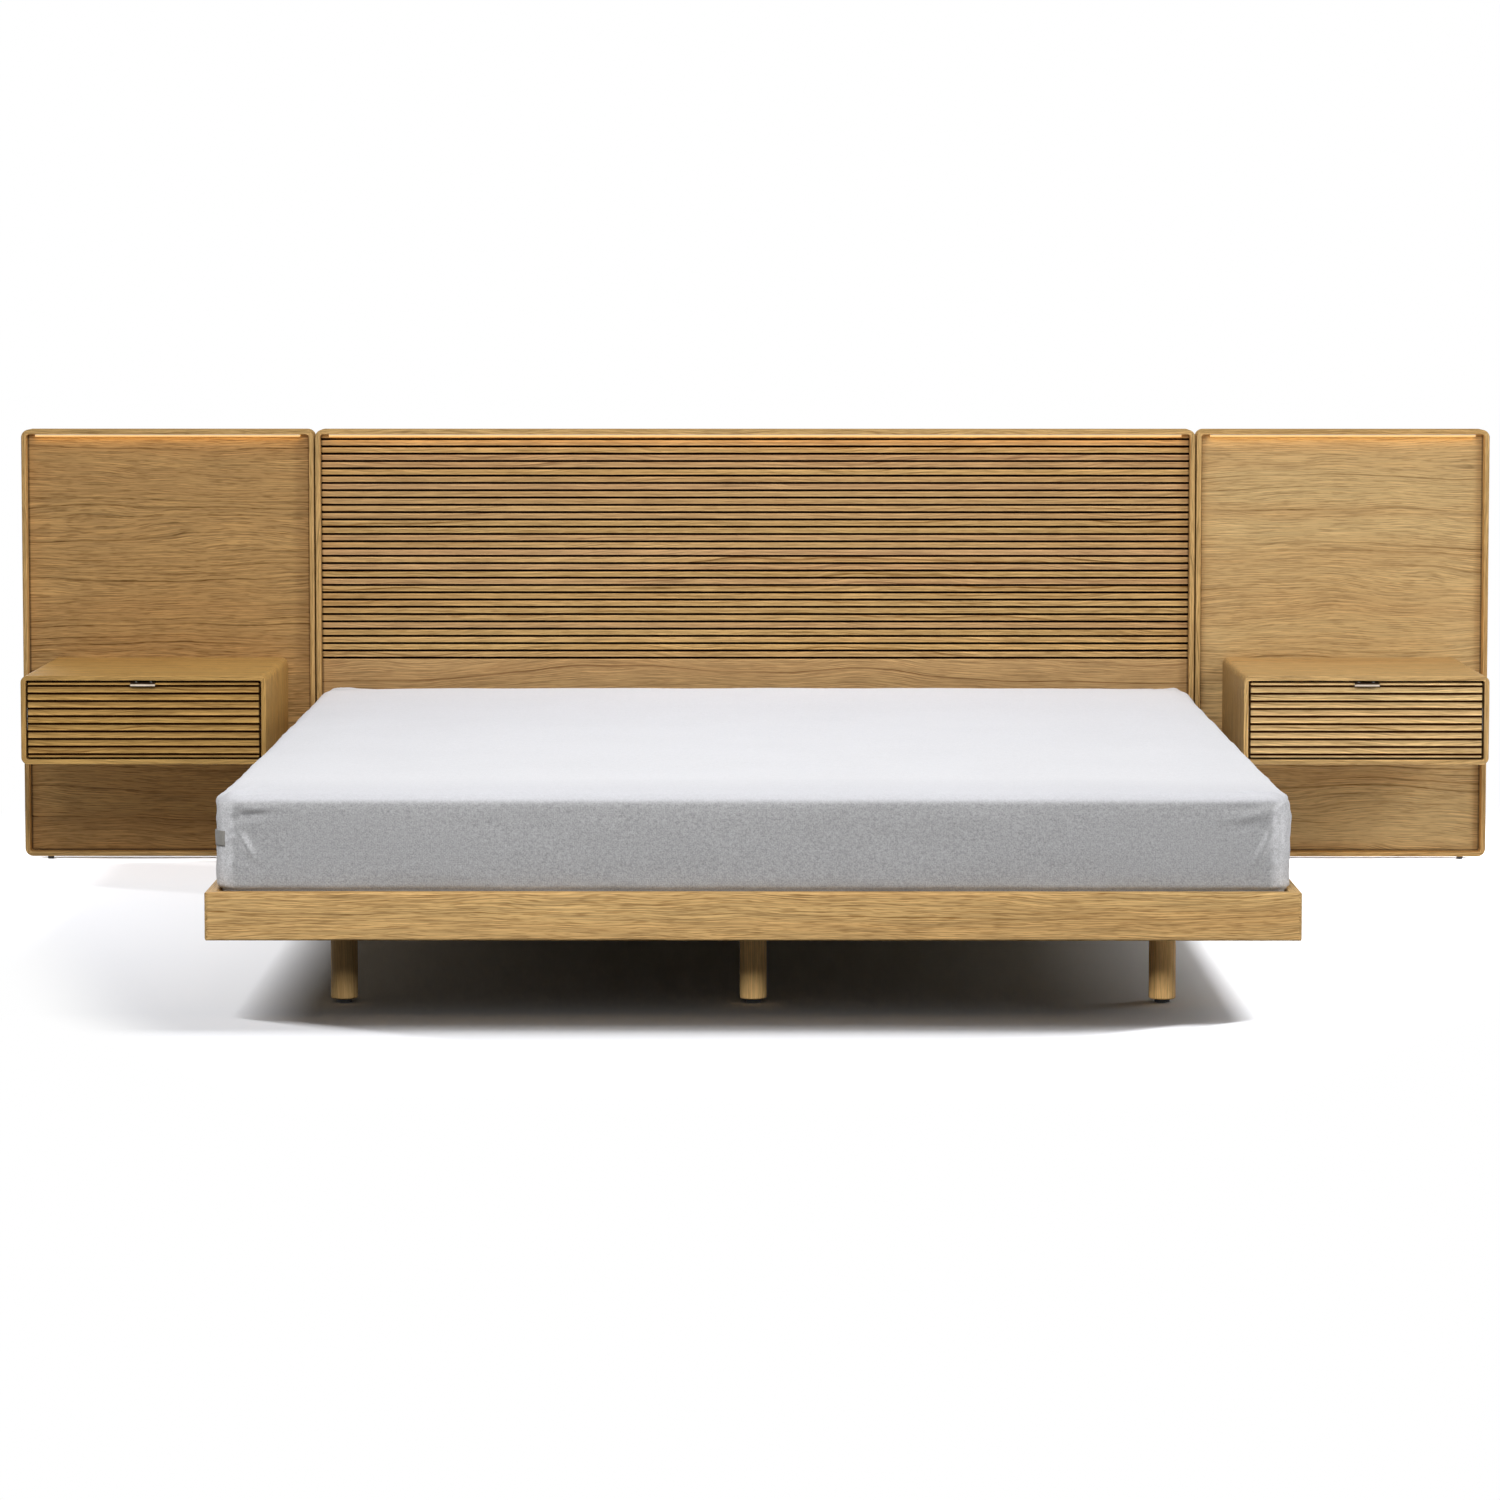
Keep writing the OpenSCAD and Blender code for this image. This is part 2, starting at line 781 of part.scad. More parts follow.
module at_corner_screws() {
    at_corners() for (reach = bracket_holes) {
        translate([-reach, -bracket_t, bracket_z + bracket_h / 2]) rotate([-90, 0, 0]) children();
        translate([-bracket_t, -reach, bracket_z + bracket_h / 2]) rotate([0, 90, 0]) children();
    }
}

module corner_brackets() {
    color(STEEL) difference() {
        at_corners() {
            translate([-bracket_leg, -bracket_t, bracket_z])
                cube([bracket_leg, bracket_t, bracket_h]);
            translate([-bracket_t, -bracket_leg, bracket_z])
                cube([bracket_t, bracket_leg, bracket_h]);
        }
        at_corner_screws() screw_bore(frame_screw_d, frame_screw_l);
    }
}

module frame_screws() {
    color(STEEL) {
        at_corner_screws() screw(frame_screw_d, frame_screw_l, frame_screw_head);
        at_bed_bracket_screws() screw(frame_screw_d, frame_screw_l, frame_screw_head);
    }
}

// Room for a crossing piece in a halved joint: half of the height, from z up
module halving(x, y, w, l, z) {
    translate([x - w / 2 - halving_fit, y - l / 2 - halving_fit, z])
        cube([w + 2 * halving_fit, l + 2 * halving_fit, support_h / 2 + over]);
}

module slat_ledgers() {
    color(PINE) for (side = [-1, 1]) difference() {
        translate([side * (inner_w - ledger_w) / 2 - ledger_w / 2,
                   inner_foot_y + ledger_end, rail_z])
            cube([ledger_w, inner_l - 2 * ledger_end, support_h]);
        for (y = leg_rows)
            halving(side * (inner_w - ledger_w) / 2, y, ledger_w + 2 * over, bearer_w,
                    rail_z + support_h / 2);
    }
}

module centre_beam() {
    color(PINE) difference() {
        translate([-beam_w / 2, inner_foot_y, rail_z]) cube([beam_w, inner_l, support_h]);
        for (y = leg_rows) halving(0, y, beam_w + 2 * over, bearer_w, rail_z - over);
        leg_bolt_bores();
    }
}

module cross_bearers() {
    color(PINE) difference() {
        for (y = leg_rows)
            translate([-inner_w / 2, y - bearer_w / 2, rail_z])
                cube([inner_w, bearer_w, support_h]);
        for (y = leg_rows) {
            halving(0, y, beam_w, bearer_w + 2 * over, rail_z + support_h / 2);
            for (side = [-1, 1])
                halving(side * (inner_w - ledger_w) / 2, y, ledger_w, bearer_w + 2 * over,
                        rail_z - over);
        }
        leg_bolt_bores();
    }
}

module slats(side) {
    slat_l = (inner_w - 3 * slat_gap) / 2;
    step = (inner_l - 2 * slat_end) / (slat_count - 1);
    color(PLY) for (i = [0:slat_count - 1])
        translate([side * (slat_gap + slat_l) / 2 - slat_l / 2,
                   inner_foot_y + slat_end + i * step - slat_w / 2, slat_z])
            cube([slat_l, slat_w, slat_t]);
}

// ---------- Legs ----------

// The legs' places: three in the first and last rows and one in the middle
leg_x = bed_w / 2 - leg_side;
LEG_PLACES = [
    [-leg_x, leg_rows[0]], [0, leg_rows[0]], [leg_x, leg_rows[0]],
    [0, leg_rows[1]],
    [-leg_x, leg_rows[2]], [0, leg_rows[2]], [leg_x, leg_rows[2]]
];

module leg(index) {
    h = rail_z - leg_glide_h;
    color(OAK) difference() {
        translate([LEG_PLACES[index][0], LEG_PLACES[index][1], leg_glide_h])
            rotate_extrude() {
                square([leg_d / 2 - leg_edge_r, h]);
                translate([0, leg_edge_r]) square([leg_d / 2, h - leg_edge_r]);
                translate([leg_d / 2 - leg_edge_r, leg_edge_r]) circle(leg_edge_r);
            }
        leg_bolt_bores();
    }
}

module at_legs() {
    for (place = LEG_PLACES) translate([place[0], place[1], 0]) children();
}

module leg_bolt_bores() {
    at_legs() {
        translate([0, 0, rail_z - leg_bolt_in - bore_fit])
            cylinder(d = leg_bolt_d + 2 * bore_fit, h = leg_bolt_in + support_h + over);
        translate([0, 0, slat_z - leg_bolt_sink])
            cylinder(d = leg_bolt_room_d, h = leg_bolt_sink + over);
    }
}

module leg_bolts() {
    color(STEEL) at_legs() {
        translate([0, 0, rail_z - leg_bolt_in])
            cylinder(d = leg_bolt_d, h = leg_bolt_in + support_h - leg_bolt_sink);
        translate([0, 0, slat_z - leg_bolt_sink])
            cylinder(d = leg_bolt_head[0], h = leg_bolt_head[1]);
    }
}

module leg_glides() {
    color(BLACK) at_legs() cylinder(d = leg_glide_d, h = leg_glide_h);
}

// ---------- Mattress ----------

// Points of a rounded outline: in each corner, and along each side
corner_steps = 4;
side_steps = 6;

function compass(k) = [cos(90 * k), sin(90 * k)];

function corner_centre(k, w, l, r) =
    [(k == 0 || k == 3 ? 1 : -1) * (w / 2 - r), (k < 2 ? 1 : -1) * (l / 2 - r)];

function corner_points(k, w, l, r) =
    [for (j = [0:corner_steps])
        corner_centre(k, w, l, r) + r * compass(k + j / corner_steps)];

// A side pulls in by a sine curve between its two corners
function side_points(k, w, l, r, draw) =
    let (out = compass(k + 1),
         from = corner_centre(k, w, l, r) + r * out,
         to = corner_centre((k + 1) % 4, w, l, r) + r * out)
    [for (j = [1:side_steps - 1])
        from + (to - from) * j / side_steps - out * draw * sin(180 * j / side_steps)];

function outline(w, l, r, draw) =
    [for (k = [0:3]) each concat(corner_points(k, w, l, r), side_points(k, w, l, r, draw))];

function lifted(points, z) = [for (p = points) [p[0], p[1], z]];

// One ring of the mattress: inset from its sides, height, and the share of the draw
function soft_ring(inset, z, share) =
    lifted(outline(mattress_w - 2 * inset, mattress_l - 2 * inset,
                   mattress_corner_r - inset / 2, mattress_draw * share), z);

module mattress() {
    rise = mattress_h - mattress_crown;
    low_r = mattress_edge_r * 0.6;
    er = mattress_edge_r;
    sw = mattress_swell;
    rings = concat(
        // Rounded lower edge
        [for (a = [0, 35, 65, 90])
            soft_ring(low_r * (1 - sin(a)), low_r * (1 - cos(a)), 0.2)],
        // Sides, which swell once they are above the rails
        [soft_ring(0, mattress_sink, 0.4),
         soft_ring(-sw * 0.8, mattress_sink + er / 2, 0.7),
         soft_ring(-sw, (mattress_sink + rise) / 2, 1)],
        // Rounded upper edge
        [for (a = [0, 30, 60, 90])
            soft_ring(er * (1 - cos(a)) - sw * 0.7, rise - er * (1 - sin(a)), 1)],
        // Crown, in rings that shrink towards the middle
        [for (s = [0.94, 0.84, 0.66, 0.4, 0.16])
            lifted(outline((mattress_w - 2 * er) * s, (mattress_l - 2 * er) * s,
                           mattress_corner_r * s, mattress_draw * s),
                   rise + mattress_crown * (1 - pow(s, 4)))]
    );
    n = len(rings[0]);
    count = len(rings);
    points = concat([for (ring = rings) each ring], [[0, 0, 0], [0, 0, mattress_h]]);
    walls = [for (k = [0:count - 2], i = [0:n - 1])
        let (a = k * n + i, b = k * n + (i + 1) % n)
        each [[a, b + n, b], [a, a + n, b + n]]];
    floor_fan = [for (i = [0:n - 1]) [count * n, i, (i + 1) % n]];
    top_fan = [for (i = [0:n - 1])
        [count * n + 1, (count - 1) * n + (i + 1) % n, (count - 1) * n + i]];
    color(LINEN) translate([0, bed_y, mattress_z])
        polyhedron(points, concat(walls, floor_fan, top_fan));
}

// ---------- Nodes ----------

panel_frame(PANELS[0]);  // centre_panel_frame
panel_frame(PANELS[1]);  // left_panel_frame
panel_frame(PANELS[2]);  // right_panel_frame
centre_panel_board();
side_panel_board(LEFT);  // left_panel_board
side_panel_board(RIGHT);  // right_panel_board
light_channels();
light_diffusers();
back_battens();
joining_bolts();
wall_hangers();
headboard_glides();
cable_grommet();
bed_brackets();
nightstand_shell(LEFT);  // left_nightstand_shell
nightstand_back(LEFT);  // left_nightstand_back
outer_runners(LEFT);  // left_outer_runners
middle_runners(LEFT);  // left_middle_runners
inner_runners(LEFT);  // left_inner_runners
drawer_front(LEFT);  // left_drawer_front
drawer_sides(LEFT);  // left_drawer_sides
drawer_back(LEFT);  // left_drawer_back
drawer_bottom(LEFT);  // left_drawer_bottom
drawer_pull(LEFT);  // left_drawer_pull
drawer_screws(LEFT);  // left_drawer_screws
nightstand_shell(RIGHT);  // right_nightstand_shell
nightstand_back(RIGHT);  // right_nightstand_back
outer_runners(RIGHT);  // right_outer_runners
middle_runners(RIGHT);  // right_middle_runners
inner_runners(RIGHT);  // right_inner_runners
drawer_front(RIGHT);  // right_drawer_front
drawer_sides(RIGHT);  // right_drawer_sides
drawer_back(RIGHT);  // right_drawer_back
drawer_bottom(RIGHT);  // right_drawer_bottom
drawer_pull(RIGHT);  // right_drawer_pull
drawer_screws(RIGHT);  // right_drawer_screws
nightstand_plates();
nightstand_bolts();
runner_screws();
placed_rail(-90, bed_l, bed_w);  // left_side_rail
placed_rail(90, bed_l, bed_w);  // right_side_rail
placed_rail(0, bed_w, bed_l);  // foot_rail
placed_rail(180, bed_w, bed_l);  // head_rail
corner_brackets();
frame_screws();
slat_ledgers();
centre_beam();
cross_bearers();
slats(LEFT);  // left_slats
slats(RIGHT);  // right_slats
leg(0);  // front_left_leg
leg(1);  // front_middle_leg
leg(2);  // front_right_leg
leg(3);  // centre_leg
leg(4);  // rear_left_leg
leg(5);  // rear_middle_leg
leg(6);  // rear_right_leg
leg_bolts();
leg_glides();
mattress();
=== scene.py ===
"""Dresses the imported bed: oak, steel and light strips on the solids, and a mattress in a
fitted sheet in place of the plain one. Lengths are in metres unless a name ends in _mm."""

import math
import random

import bpy
import numpy as np
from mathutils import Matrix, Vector, noise
from mathutils.bvhtree import BVHTree


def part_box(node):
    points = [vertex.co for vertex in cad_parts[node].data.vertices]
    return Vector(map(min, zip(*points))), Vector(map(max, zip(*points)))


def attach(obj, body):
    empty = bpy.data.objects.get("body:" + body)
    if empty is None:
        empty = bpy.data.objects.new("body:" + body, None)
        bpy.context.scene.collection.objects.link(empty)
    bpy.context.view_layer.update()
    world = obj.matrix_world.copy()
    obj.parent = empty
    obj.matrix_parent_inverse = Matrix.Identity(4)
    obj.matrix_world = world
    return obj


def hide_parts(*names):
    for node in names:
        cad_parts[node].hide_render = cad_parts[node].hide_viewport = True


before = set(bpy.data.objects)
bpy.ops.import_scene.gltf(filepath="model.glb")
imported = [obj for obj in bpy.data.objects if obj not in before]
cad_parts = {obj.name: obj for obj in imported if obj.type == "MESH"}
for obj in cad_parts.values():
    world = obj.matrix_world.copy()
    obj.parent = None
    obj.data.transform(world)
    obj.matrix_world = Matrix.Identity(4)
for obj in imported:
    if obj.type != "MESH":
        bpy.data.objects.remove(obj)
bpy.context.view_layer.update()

ROOT = "bed"
MM = 0.001
TINY = 1e-6


# --- Nodes and colours ---

def colour(code):
    """The linear colour of an sRGB hex code."""
    parts = [int(code[i:i + 2], 16) / 255 for i in (1, 3, 5)]
    return tuple(p / 12.92 if p <= 0.04045 else ((p + 0.055) / 1.055) ** 2.4
                 for p in parts) + (1.0,)


def add(tree, kind, inputs=None, **settings):
    """Adds a node. Inputs take a number, a colour, a vector or another node's socket."""
    made = tree.nodes.new(kind)
    for key, value in settings.items():
        setattr(made, key, value)
    for key, value in (inputs or {}).items():
        if isinstance(value, bpy.types.NodeSocket):
            tree.links.new(value, made.inputs[key])
        else:
            made.inputs[key].default_value = value
    return made


def start(name):
    """An empty material, with its tree and the place on the piece in millimetres."""
    made = bpy.data.materials.new(name)
    made.use_nodes = True
    tree = made.node_tree
    tree.nodes.clear()
    spot = add(tree, "ShaderNodeTexCoord").outputs["Object"]
    place = add(tree, "ShaderNodeVectorMath", {0: spot, "Scale": 1 / MM}, operation="SCALE")
    return made, tree, place.outputs[0]


def close(tree, surface, height=None, depth_mm=0.3, **sockets):
    """Links the finished surface to the output, with bump if a height is given."""
    shader = add(tree, "ShaderNodeBsdfPrincipled", surface)
    for key, value in sockets.items():
        shader.inputs[key.replace("_", " ")].default_value = value
    if height is not None:
        bump = add(tree, "ShaderNodeBump",
                   {"Height": height, "Strength": 1.0, "Distance": depth_mm * MM})
        tree.links.new(bump.outputs[0], shader.inputs["Normal"])
    add(tree, "ShaderNodeOutputMaterial", {"Surface": shader.outputs[0]})


def steps(ramp, *stops):
    """Sets a colour ramp to grey stops of (position, value)."""
    row = ramp.color_ramp.elements
    while len(row) < len(stops):
        row.new(0.5)
    for stop, (at, value) in zip(row, stops):
        stop.position = at
        stop.color = (value, value, value, 1.0)
    return ramp.outputs[0]


# --- Wood ---

def turned(tree, place, grain):
    """The place with its first axis along the grain and its last across it."""
    split = add(tree, "ShaderNodeSeparateXYZ", {0: place}).outputs
    order = {"x": (0, 1, 2), "z": (2, 1, 0), "y": (1, 2, 0)}[grain]
    return add(tree, "ShaderNodeCombineXYZ",
               {i: split[axis] for i, axis in enumerate(order)}).outputs[0]


def end_gaps(tree, place, middle_mm, half_mm):
    """How far a place is inside the ends of a piece along X, and along Z."""
    split = add(tree, "ShaderNodeSeparateXYZ", {0: place}).outputs
    gaps = []
    for axis, centre, half in ((0, middle_mm[0], half_mm[0]), (2, middle_mm[1], half_mm[1])):
        off = add(tree, "ShaderNodeMath", {0: split[axis], 1: centre}, operation="SUBTRACT")
        size = add(tree, "ShaderNodeMath", {0: off.outputs[0]}, operation="ABSOLUTE")
        gaps.append(add(tree, "ShaderNodeMath", {0: half, 1: size.outputs[0]},
                        operation="SUBTRACT").outputs[0])
    return gaps


def mitred(tree, place, middle_mm, half_mm):
    """Grain along X in the top and bottom of a ring, and along Z in its uprights."""
    across, up = end_gaps(tree, place, middle_mm, half_mm)
    upright = add(tree, "ShaderNodeMath", {0: across, 1: up}, operation="LESS_THAN")
    return add(tree, "ShaderNodeMix",
               {0: upright.outputs[0], 4: turned(tree, place, "x"), 5: turned(tree, place, "z")},
               data_type="VECTOR").outputs[1]


def facing(tree, axis, least=None):
    """How far a face points along an axis. With a least value it is 1 on the faces that
    point at least that far either way, and 0 on the rest."""
    way = add(tree, "ShaderNodeTexCoord").outputs["Normal"]
    way = add(tree, "ShaderNodeSeparateXYZ", {0: way}).outputs[axis]
    if least is None:
        return way
    way = add(tree, "ShaderNodeMath", {0: way}, operation="ABSOLUTE").outputs[0]
    return add(tree, "ShaderNodeMath", {0: way, 1: least}, operation="GREATER_THAN").outputs[0]


# A face counts as facing an axis where its normal points at least this far along it
FACE = 0.7


def stretched_noise(tree, along, sizes_mm, detail=2.0, shift=0.0):
    """Noise whose blotches have the given sizes along, into and across the grain."""
    scaled = add(tree, "ShaderNodeVectorMath",
                 {0: along, 1: [1 / s for s in sizes_mm], 2: (shift, shift, shift)},
                 operation="MULTIPLY_ADD")
    return add(tree, "ShaderNodeTexNoise",
               {"Vector": scaled.outputs[0], "Scale": 1.0, "Detail": detail,
                "Roughness": 0.55}).outputs[0]


def wood(name, grain, light, dark, warm, bend_mm=40, line=0.95, pores=0.4, shift=0.0,
         ring=None, flutes=None, border=None, roughness=0.54, tone=1.0, streak=0.36,
         gloss=0.15, space_mm=15, shade_minus_x=1.0):
    """Sliced and lacquered wood. The growth rings show as fine wavy lines that run into long
    arches, some much darker than others, with the open pores as short dashes between them.
    Line and pores are how dark each is, streak how far the fibre varies, and tone a gain on
    it all. A gain below 1 on the faces towards -X is a painted shade, which darkens them as
    if less light fell there."""
    made, tree, place = start(name)
    along = mitred(tree, place, *ring) if ring else turned(tree, place, grain)
    split = add(tree, "ShaderNodeSeparateXYZ", {0: along}).outputs

    # The distance across the grain, bent by slow noise, carries every mark in the wood. It
    # leans, so that the lines also run along the tops and sides of a piece
    level = add(tree, "ShaderNodeMath", {0: split[1], 1: 0.5, 2: split[2]},
                operation="MULTIPLY_ADD").outputs[0]
    for sizes_mm, reach_mm in (((950, 300, 200), bend_mm), ((280, 90, 90), bend_mm * 0.45),
                               ((70, 40, 26), bend_mm * 0.035)):
        sway = stretched_noise(tree, along, sizes_mm, 1.0, shift + reach_mm)
        sway = add(tree, "ShaderNodeMath", {0: sway, 1: 0.5}, operation="SUBTRACT").outputs[0]
        level = add(tree, "ShaderNodeMath", {0: sway, 1: 2 * reach_mm, 2: level},
                    operation="MULTIPLY_ADD").outputs[0]
    bent = add(tree, "ShaderNodeCombineXYZ", {0: split[0], 1: split[1], 2: level}).outputs[0]

    # Growth rings are 2 to 4 mm apart in oak. The lines are drawn up to 15 mm apart, to show
    row = add(tree, "ShaderNodeMath", {0: level, 1: 1 / space_mm, 2: shift},
              operation="MULTIPLY_ADD").outputs[0]
    within = add(tree, "ShaderNodeMath", {0: row}, operation="FRACT").outputs[0]
    late = steps(add(tree, "ShaderNodeValToRGB", {0: within}),
                 (0.0, 0.25), (0.06, 0.0), (0.7, 0.06), (0.9, 1.0), (1.0, 0.25))
    number = add(tree, "ShaderNodeMath", {0: row}, operation="FLOOR").outputs[0]
    own = add(tree, "ShaderNodeTexWhiteNoise", {"W": number}, noise_dimensions="1D").outputs[0]
    own = add(tree, "ShaderNodeMapRange", {0: own, 1: 0.35, 2: 0.95, 3: 0.1, 4: 1.0}).outputs[0]
    patch = stretched_noise(tree, bent, (420, 120, 40), 1.5, shift + 3)
    patch = steps(add(tree, "ShaderNodeValToRGB", {0: patch}), (0.34, 0.1), (0.56, 1.0))
    rings = add(tree, "ShaderNodeMath", {0: late, 1: own}, operation="MULTIPLY").outputs[0]
    rings = add(tree, "ShaderNodeMath", {0: rings, 1: patch}, operation="MULTIPLY").outputs[0]

    # Pores are 0.2 mm wide, drawn 1.5 mm wide, and the fibre between them as long streaks
    dash = stretched_noise(tree, bent, (30, 1.6, 1.6), 1.0, shift + 11)
    dash = steps(add(tree, "ShaderNodeValToRGB", {0: dash}), (0.47, 0.0), (0.68, 1.0))
    fibre = stretched_noise(tree, bent, (130, 4, 1.5), 1.0, shift + 5)
    band = stretched_noise(tree, bent, (1000, 300, 46), 1.5, shift + 2)

    weight = add(tree, "ShaderNodeMapRange", {0: band, 1: 0.42, 2: 0.72, 3: 0.0, 4: 0.4})
    tint = add(tree, "ShaderNodeMix",
               {0: weight.outputs[0], 6: colour(light), 7: colour(warm)},
               data_type="RGBA").outputs[2]
    weight = add(tree, "ShaderNodeMath", {0: rings, 1: line}, operation="MULTIPLY").outputs[0]
    weight = add(tree, "ShaderNodeMath", {0: dash, 1: pores, 2: weight},
                 operation="MULTIPLY_ADD", use_clamp=True).outputs[0]
    tint = add(tree, "ShaderNodeMix", {0: weight, 6: tint, 7: colour(dark)},
               data_type="RGBA").outputs[2]
    gain = add(tree, "ShaderNodeMapRange",
               {0: fibre, 1: 0.28, 2: 0.72,
                3: (1 - streak) * tone, 4: (1 + streak) * tone}).outputs[0]
    # Painted highlight along the inner edge of a ring
    if ring:
        gain = arris_highlight(tree, place, gain, *ring)
    # Painted shade on the faces towards -X
    if shade_minus_x < 1:
        shade_gain = add(tree, "ShaderNodeMapRange",
                   {0: facing(tree, 0), 1: -0.9, 2: -0.5, 3: shade_minus_x, 4: 1.0})
        gain = add(tree, "ShaderNodeMath", {0: gain, 1: shade_gain.outputs[0]},
                   operation="MULTIPLY").outputs[0]
    if flutes:
        tint, gain = fluted(tree, place, tint, gain, *flutes)
    # Painted shadow along the border of the face
    if border:
        gain = shaded_border(tree, place, gain, *border)
    tint = add(tree, "ShaderNodeVectorMath", {0: tint, "Scale": gain},
               operation="SCALE").outputs[0]
    rough = add(tree, "ShaderNodeMapRange",
                {0: fibre, 1: 0.2, 2: 0.8, 3: roughness - 0.06, 4: roughness + 0.08})
    relief = add(tree, "ShaderNodeMath", {0: dash, 1: -0.6}, operation="MULTIPLY").outputs[0]
    relief = add(tree, "ShaderNodeMath", {0: rings, 1: -0.3, 2: relief},
                 operation="MULTIPLY_ADD").outputs[0]
    close(tree, {"Base Color": tint, "Roughness": rough.outputs[0]}, relief, 0.25,
          Specular_IOR_Level=gloss)
    return made


def arris_highlight(tree, place, gain, middle_mm, half_mm, thick_mm=10):
    """Lightens the inner edge of a ring: a painted highlight, where the rounded arris would catch
    the light.
    """
    across, up = end_gaps(tree, place, middle_mm, half_mm)
    inside = add(tree, "ShaderNodeMath", {0: across, 1: up}, operation="MINIMUM").outputs[0]
    worn = add(tree, "ShaderNodeMapRange",
               {0: inside, 1: thick_mm - 2.6, 2: thick_mm - 1.2, 3: 1.0, 4: 1.2}).outputs[0]
    return add(tree, "ShaderNodeMath", {0: gain, 1: worn}, operation="MULTIPLY").outputs[0]


def shaded_border(tree, place, gain, middle_mm, half_mm, from_mm, to_mm, share, top=False):
    """Darkens the last few millimetres of the face of a board or front to a share: a painted
    shadow, as the joint around it would throw. A board under a light strip keeps its top edge
    bright."""
    across, up = end_gaps(tree, place, middle_mm, half_mm)
    if not top:
        level = add(tree, "ShaderNodeSeparateXYZ", {0: place}).outputs[2]
        up = add(tree, "ShaderNodeMath", {0: level, 1: middle_mm[1] - half_mm[1]},
                 operation="SUBTRACT").outputs[0]
    near = add(tree, "ShaderNodeMath", {0: across, 1: up}, operation="MINIMUM").outputs[0]
    shade = add(tree, "ShaderNodeMapRange",
                {0: near, 1: from_mm, 2: to_mm, 3: share, 4: 1.0}).outputs[0]
    shade = add(tree, "ShaderNodeMix", {0: facing(tree, 1, FACE), 2: 1.0, 3: shade}).outputs[0]
    return add(tree, "ShaderNodeMath", {0: gain, 1: shade}, operation="MULTIPLY").outputs[0]


# A rosy slat, and the reddish brown painted into a groove as shade
ROSY, SHADED_GROOVE_BROWN = "#BC9474", "#8A4010"


def fluted(tree, place, tint, gain, face_mm, top_mm, pitch_mm, count, rosy, deepest=0.05,
           roll=(1.06, 0.95), skin_mm=7.0):
    """Makes each slat between two grooves a little lighter, darker or rosier. The light edges
    beside each groove are painted highlights, and the dark, reddish brown grooves are painted
    shade. The roll paints light and shade along each slat: it goes from the gain under a
    groove to the gain further down the slat, and by default gives a light upper edge. The
    first groove is at top_mm, and all of it stays within skin_mm of the face, as the grooves
    are 5 mm deep."""
    plain = tint, gain
    split = add(tree, "ShaderNodeSeparateXYZ", {0: place}).outputs
    down = add(tree, "ShaderNodeMath", {0: top_mm, 1: split[2]}, operation="SUBTRACT").outputs[0]
    row = add(tree, "ShaderNodeMath", {0: down, 1: 1 / pitch_mm}, operation="MULTIPLY").outputs[0]
    row = add(tree, "ShaderNodeMath", {0: row, 1: count - 0.5}, operation="MINIMUM").outputs[0]
    number = add(tree, "ShaderNodeMath", {0: row}, operation="FLOOR").outputs[0]
    own = add(tree, "ShaderNodeTexWhiteNoise", {"W": number}, noise_dimensions="1D").outputs
    rose = add(tree, "ShaderNodeMapRange", {0: own[0], 1: 0.3, 2: 1.0, 3: 0.0, 4: rosy})
    tint = add(tree, "ShaderNodeMix", {0: rose.outputs[0], 6: tint, 7: colour(ROSY)},
               data_type="RGBA").outputs[2]
    shade = add(tree, "ShaderNodeSeparateXYZ", {0: own[1]}).outputs[1]
    slat = add(tree, "ShaderNodeMapRange", {0: shade, 3: 0.93, 4: 1.07}).outputs[0]
    # Painted highlights on the arrises beside each groove, a slightly darker lower half and a dark
    # groove, both painted shade
    off = add(tree, "ShaderNodeMath", {0: row, 1: 0.5}, operation="PINGPONG").outputs[0]
    arris = steps(add(tree, "ShaderNodeValToRGB", {0: off}),
                  (0.1, 0.0), (0.18, 0.6), (0.22, 1.0), (0.34, 0.74), (0.5, 0.7))
    arris = add(tree, "ShaderNodeMapRange",
                {0: arris, 3: max(deepest, 0.14), 4: 1.48 - deepest / 2}).outputs[0]
    within = add(tree, "ShaderNodeMath", {0: row}, operation="FRACT").outputs[0]
    rolled = add(tree, "ShaderNodeMapRange",
                 {0: within, 1: 0.12, 2: 0.6, 3: roll[0], 4: roll[1]}).outputs[0]
    # Painted shade: the groove darkens with depth and takes the reddish brown, also just beside it
    deep = add(tree, "ShaderNodeMath", {0: split[1], 1: face_mm}, operation="SUBTRACT").outputs[0]
    dark = add(tree, "ShaderNodeMapRange",
               {0: deep, 1: 0.1, 2: 0.9, 3: 1.0, 4: deepest}).outputs[0]
    groove_shade = add(tree, "ShaderNodeMapRange", {0: deep, 1: 0.1, 2: 0.8, 3: 0.0, 4: 0.9}).outputs[0]
    beside = add(tree, "ShaderNodeMapRange", {0: off, 1: 0.09, 2: 0.19, 3: 0.8, 4: 0.0})
    groove_shade = add(tree, "ShaderNodeMath", {0: groove_shade, 1: beside.outputs[0]},
               operation="MAXIMUM").outputs[0]
    tint = add(tree, "ShaderNodeMix", {0: groove_shade, 6: tint, 7: colour(SHADED_GROOVE_BROWN)},
               data_type="RGBA").outputs[2]
    for factor in (slat, rolled, arris, dark):
        gain = add(tree, "ShaderNodeMath", {0: gain, 1: factor}, operation="MULTIPLY").outputs[0]
    near = add(tree, "ShaderNodeMath", {0: deep, 1: skin_mm}, operation="LESS_THAN").outputs[0]
    tint = add(tree, "ShaderNodeMix", {0: near, 6: plain[0], 7: tint}, data_type="RGBA").outputs[2]
    return tint, add(tree, "ShaderNodeMix", {0: near, 2: plain[1], 3: gain}).outputs[0]


OAK = dict(light="#CBA76F", dark="#7C5829", warm="#B98B54")
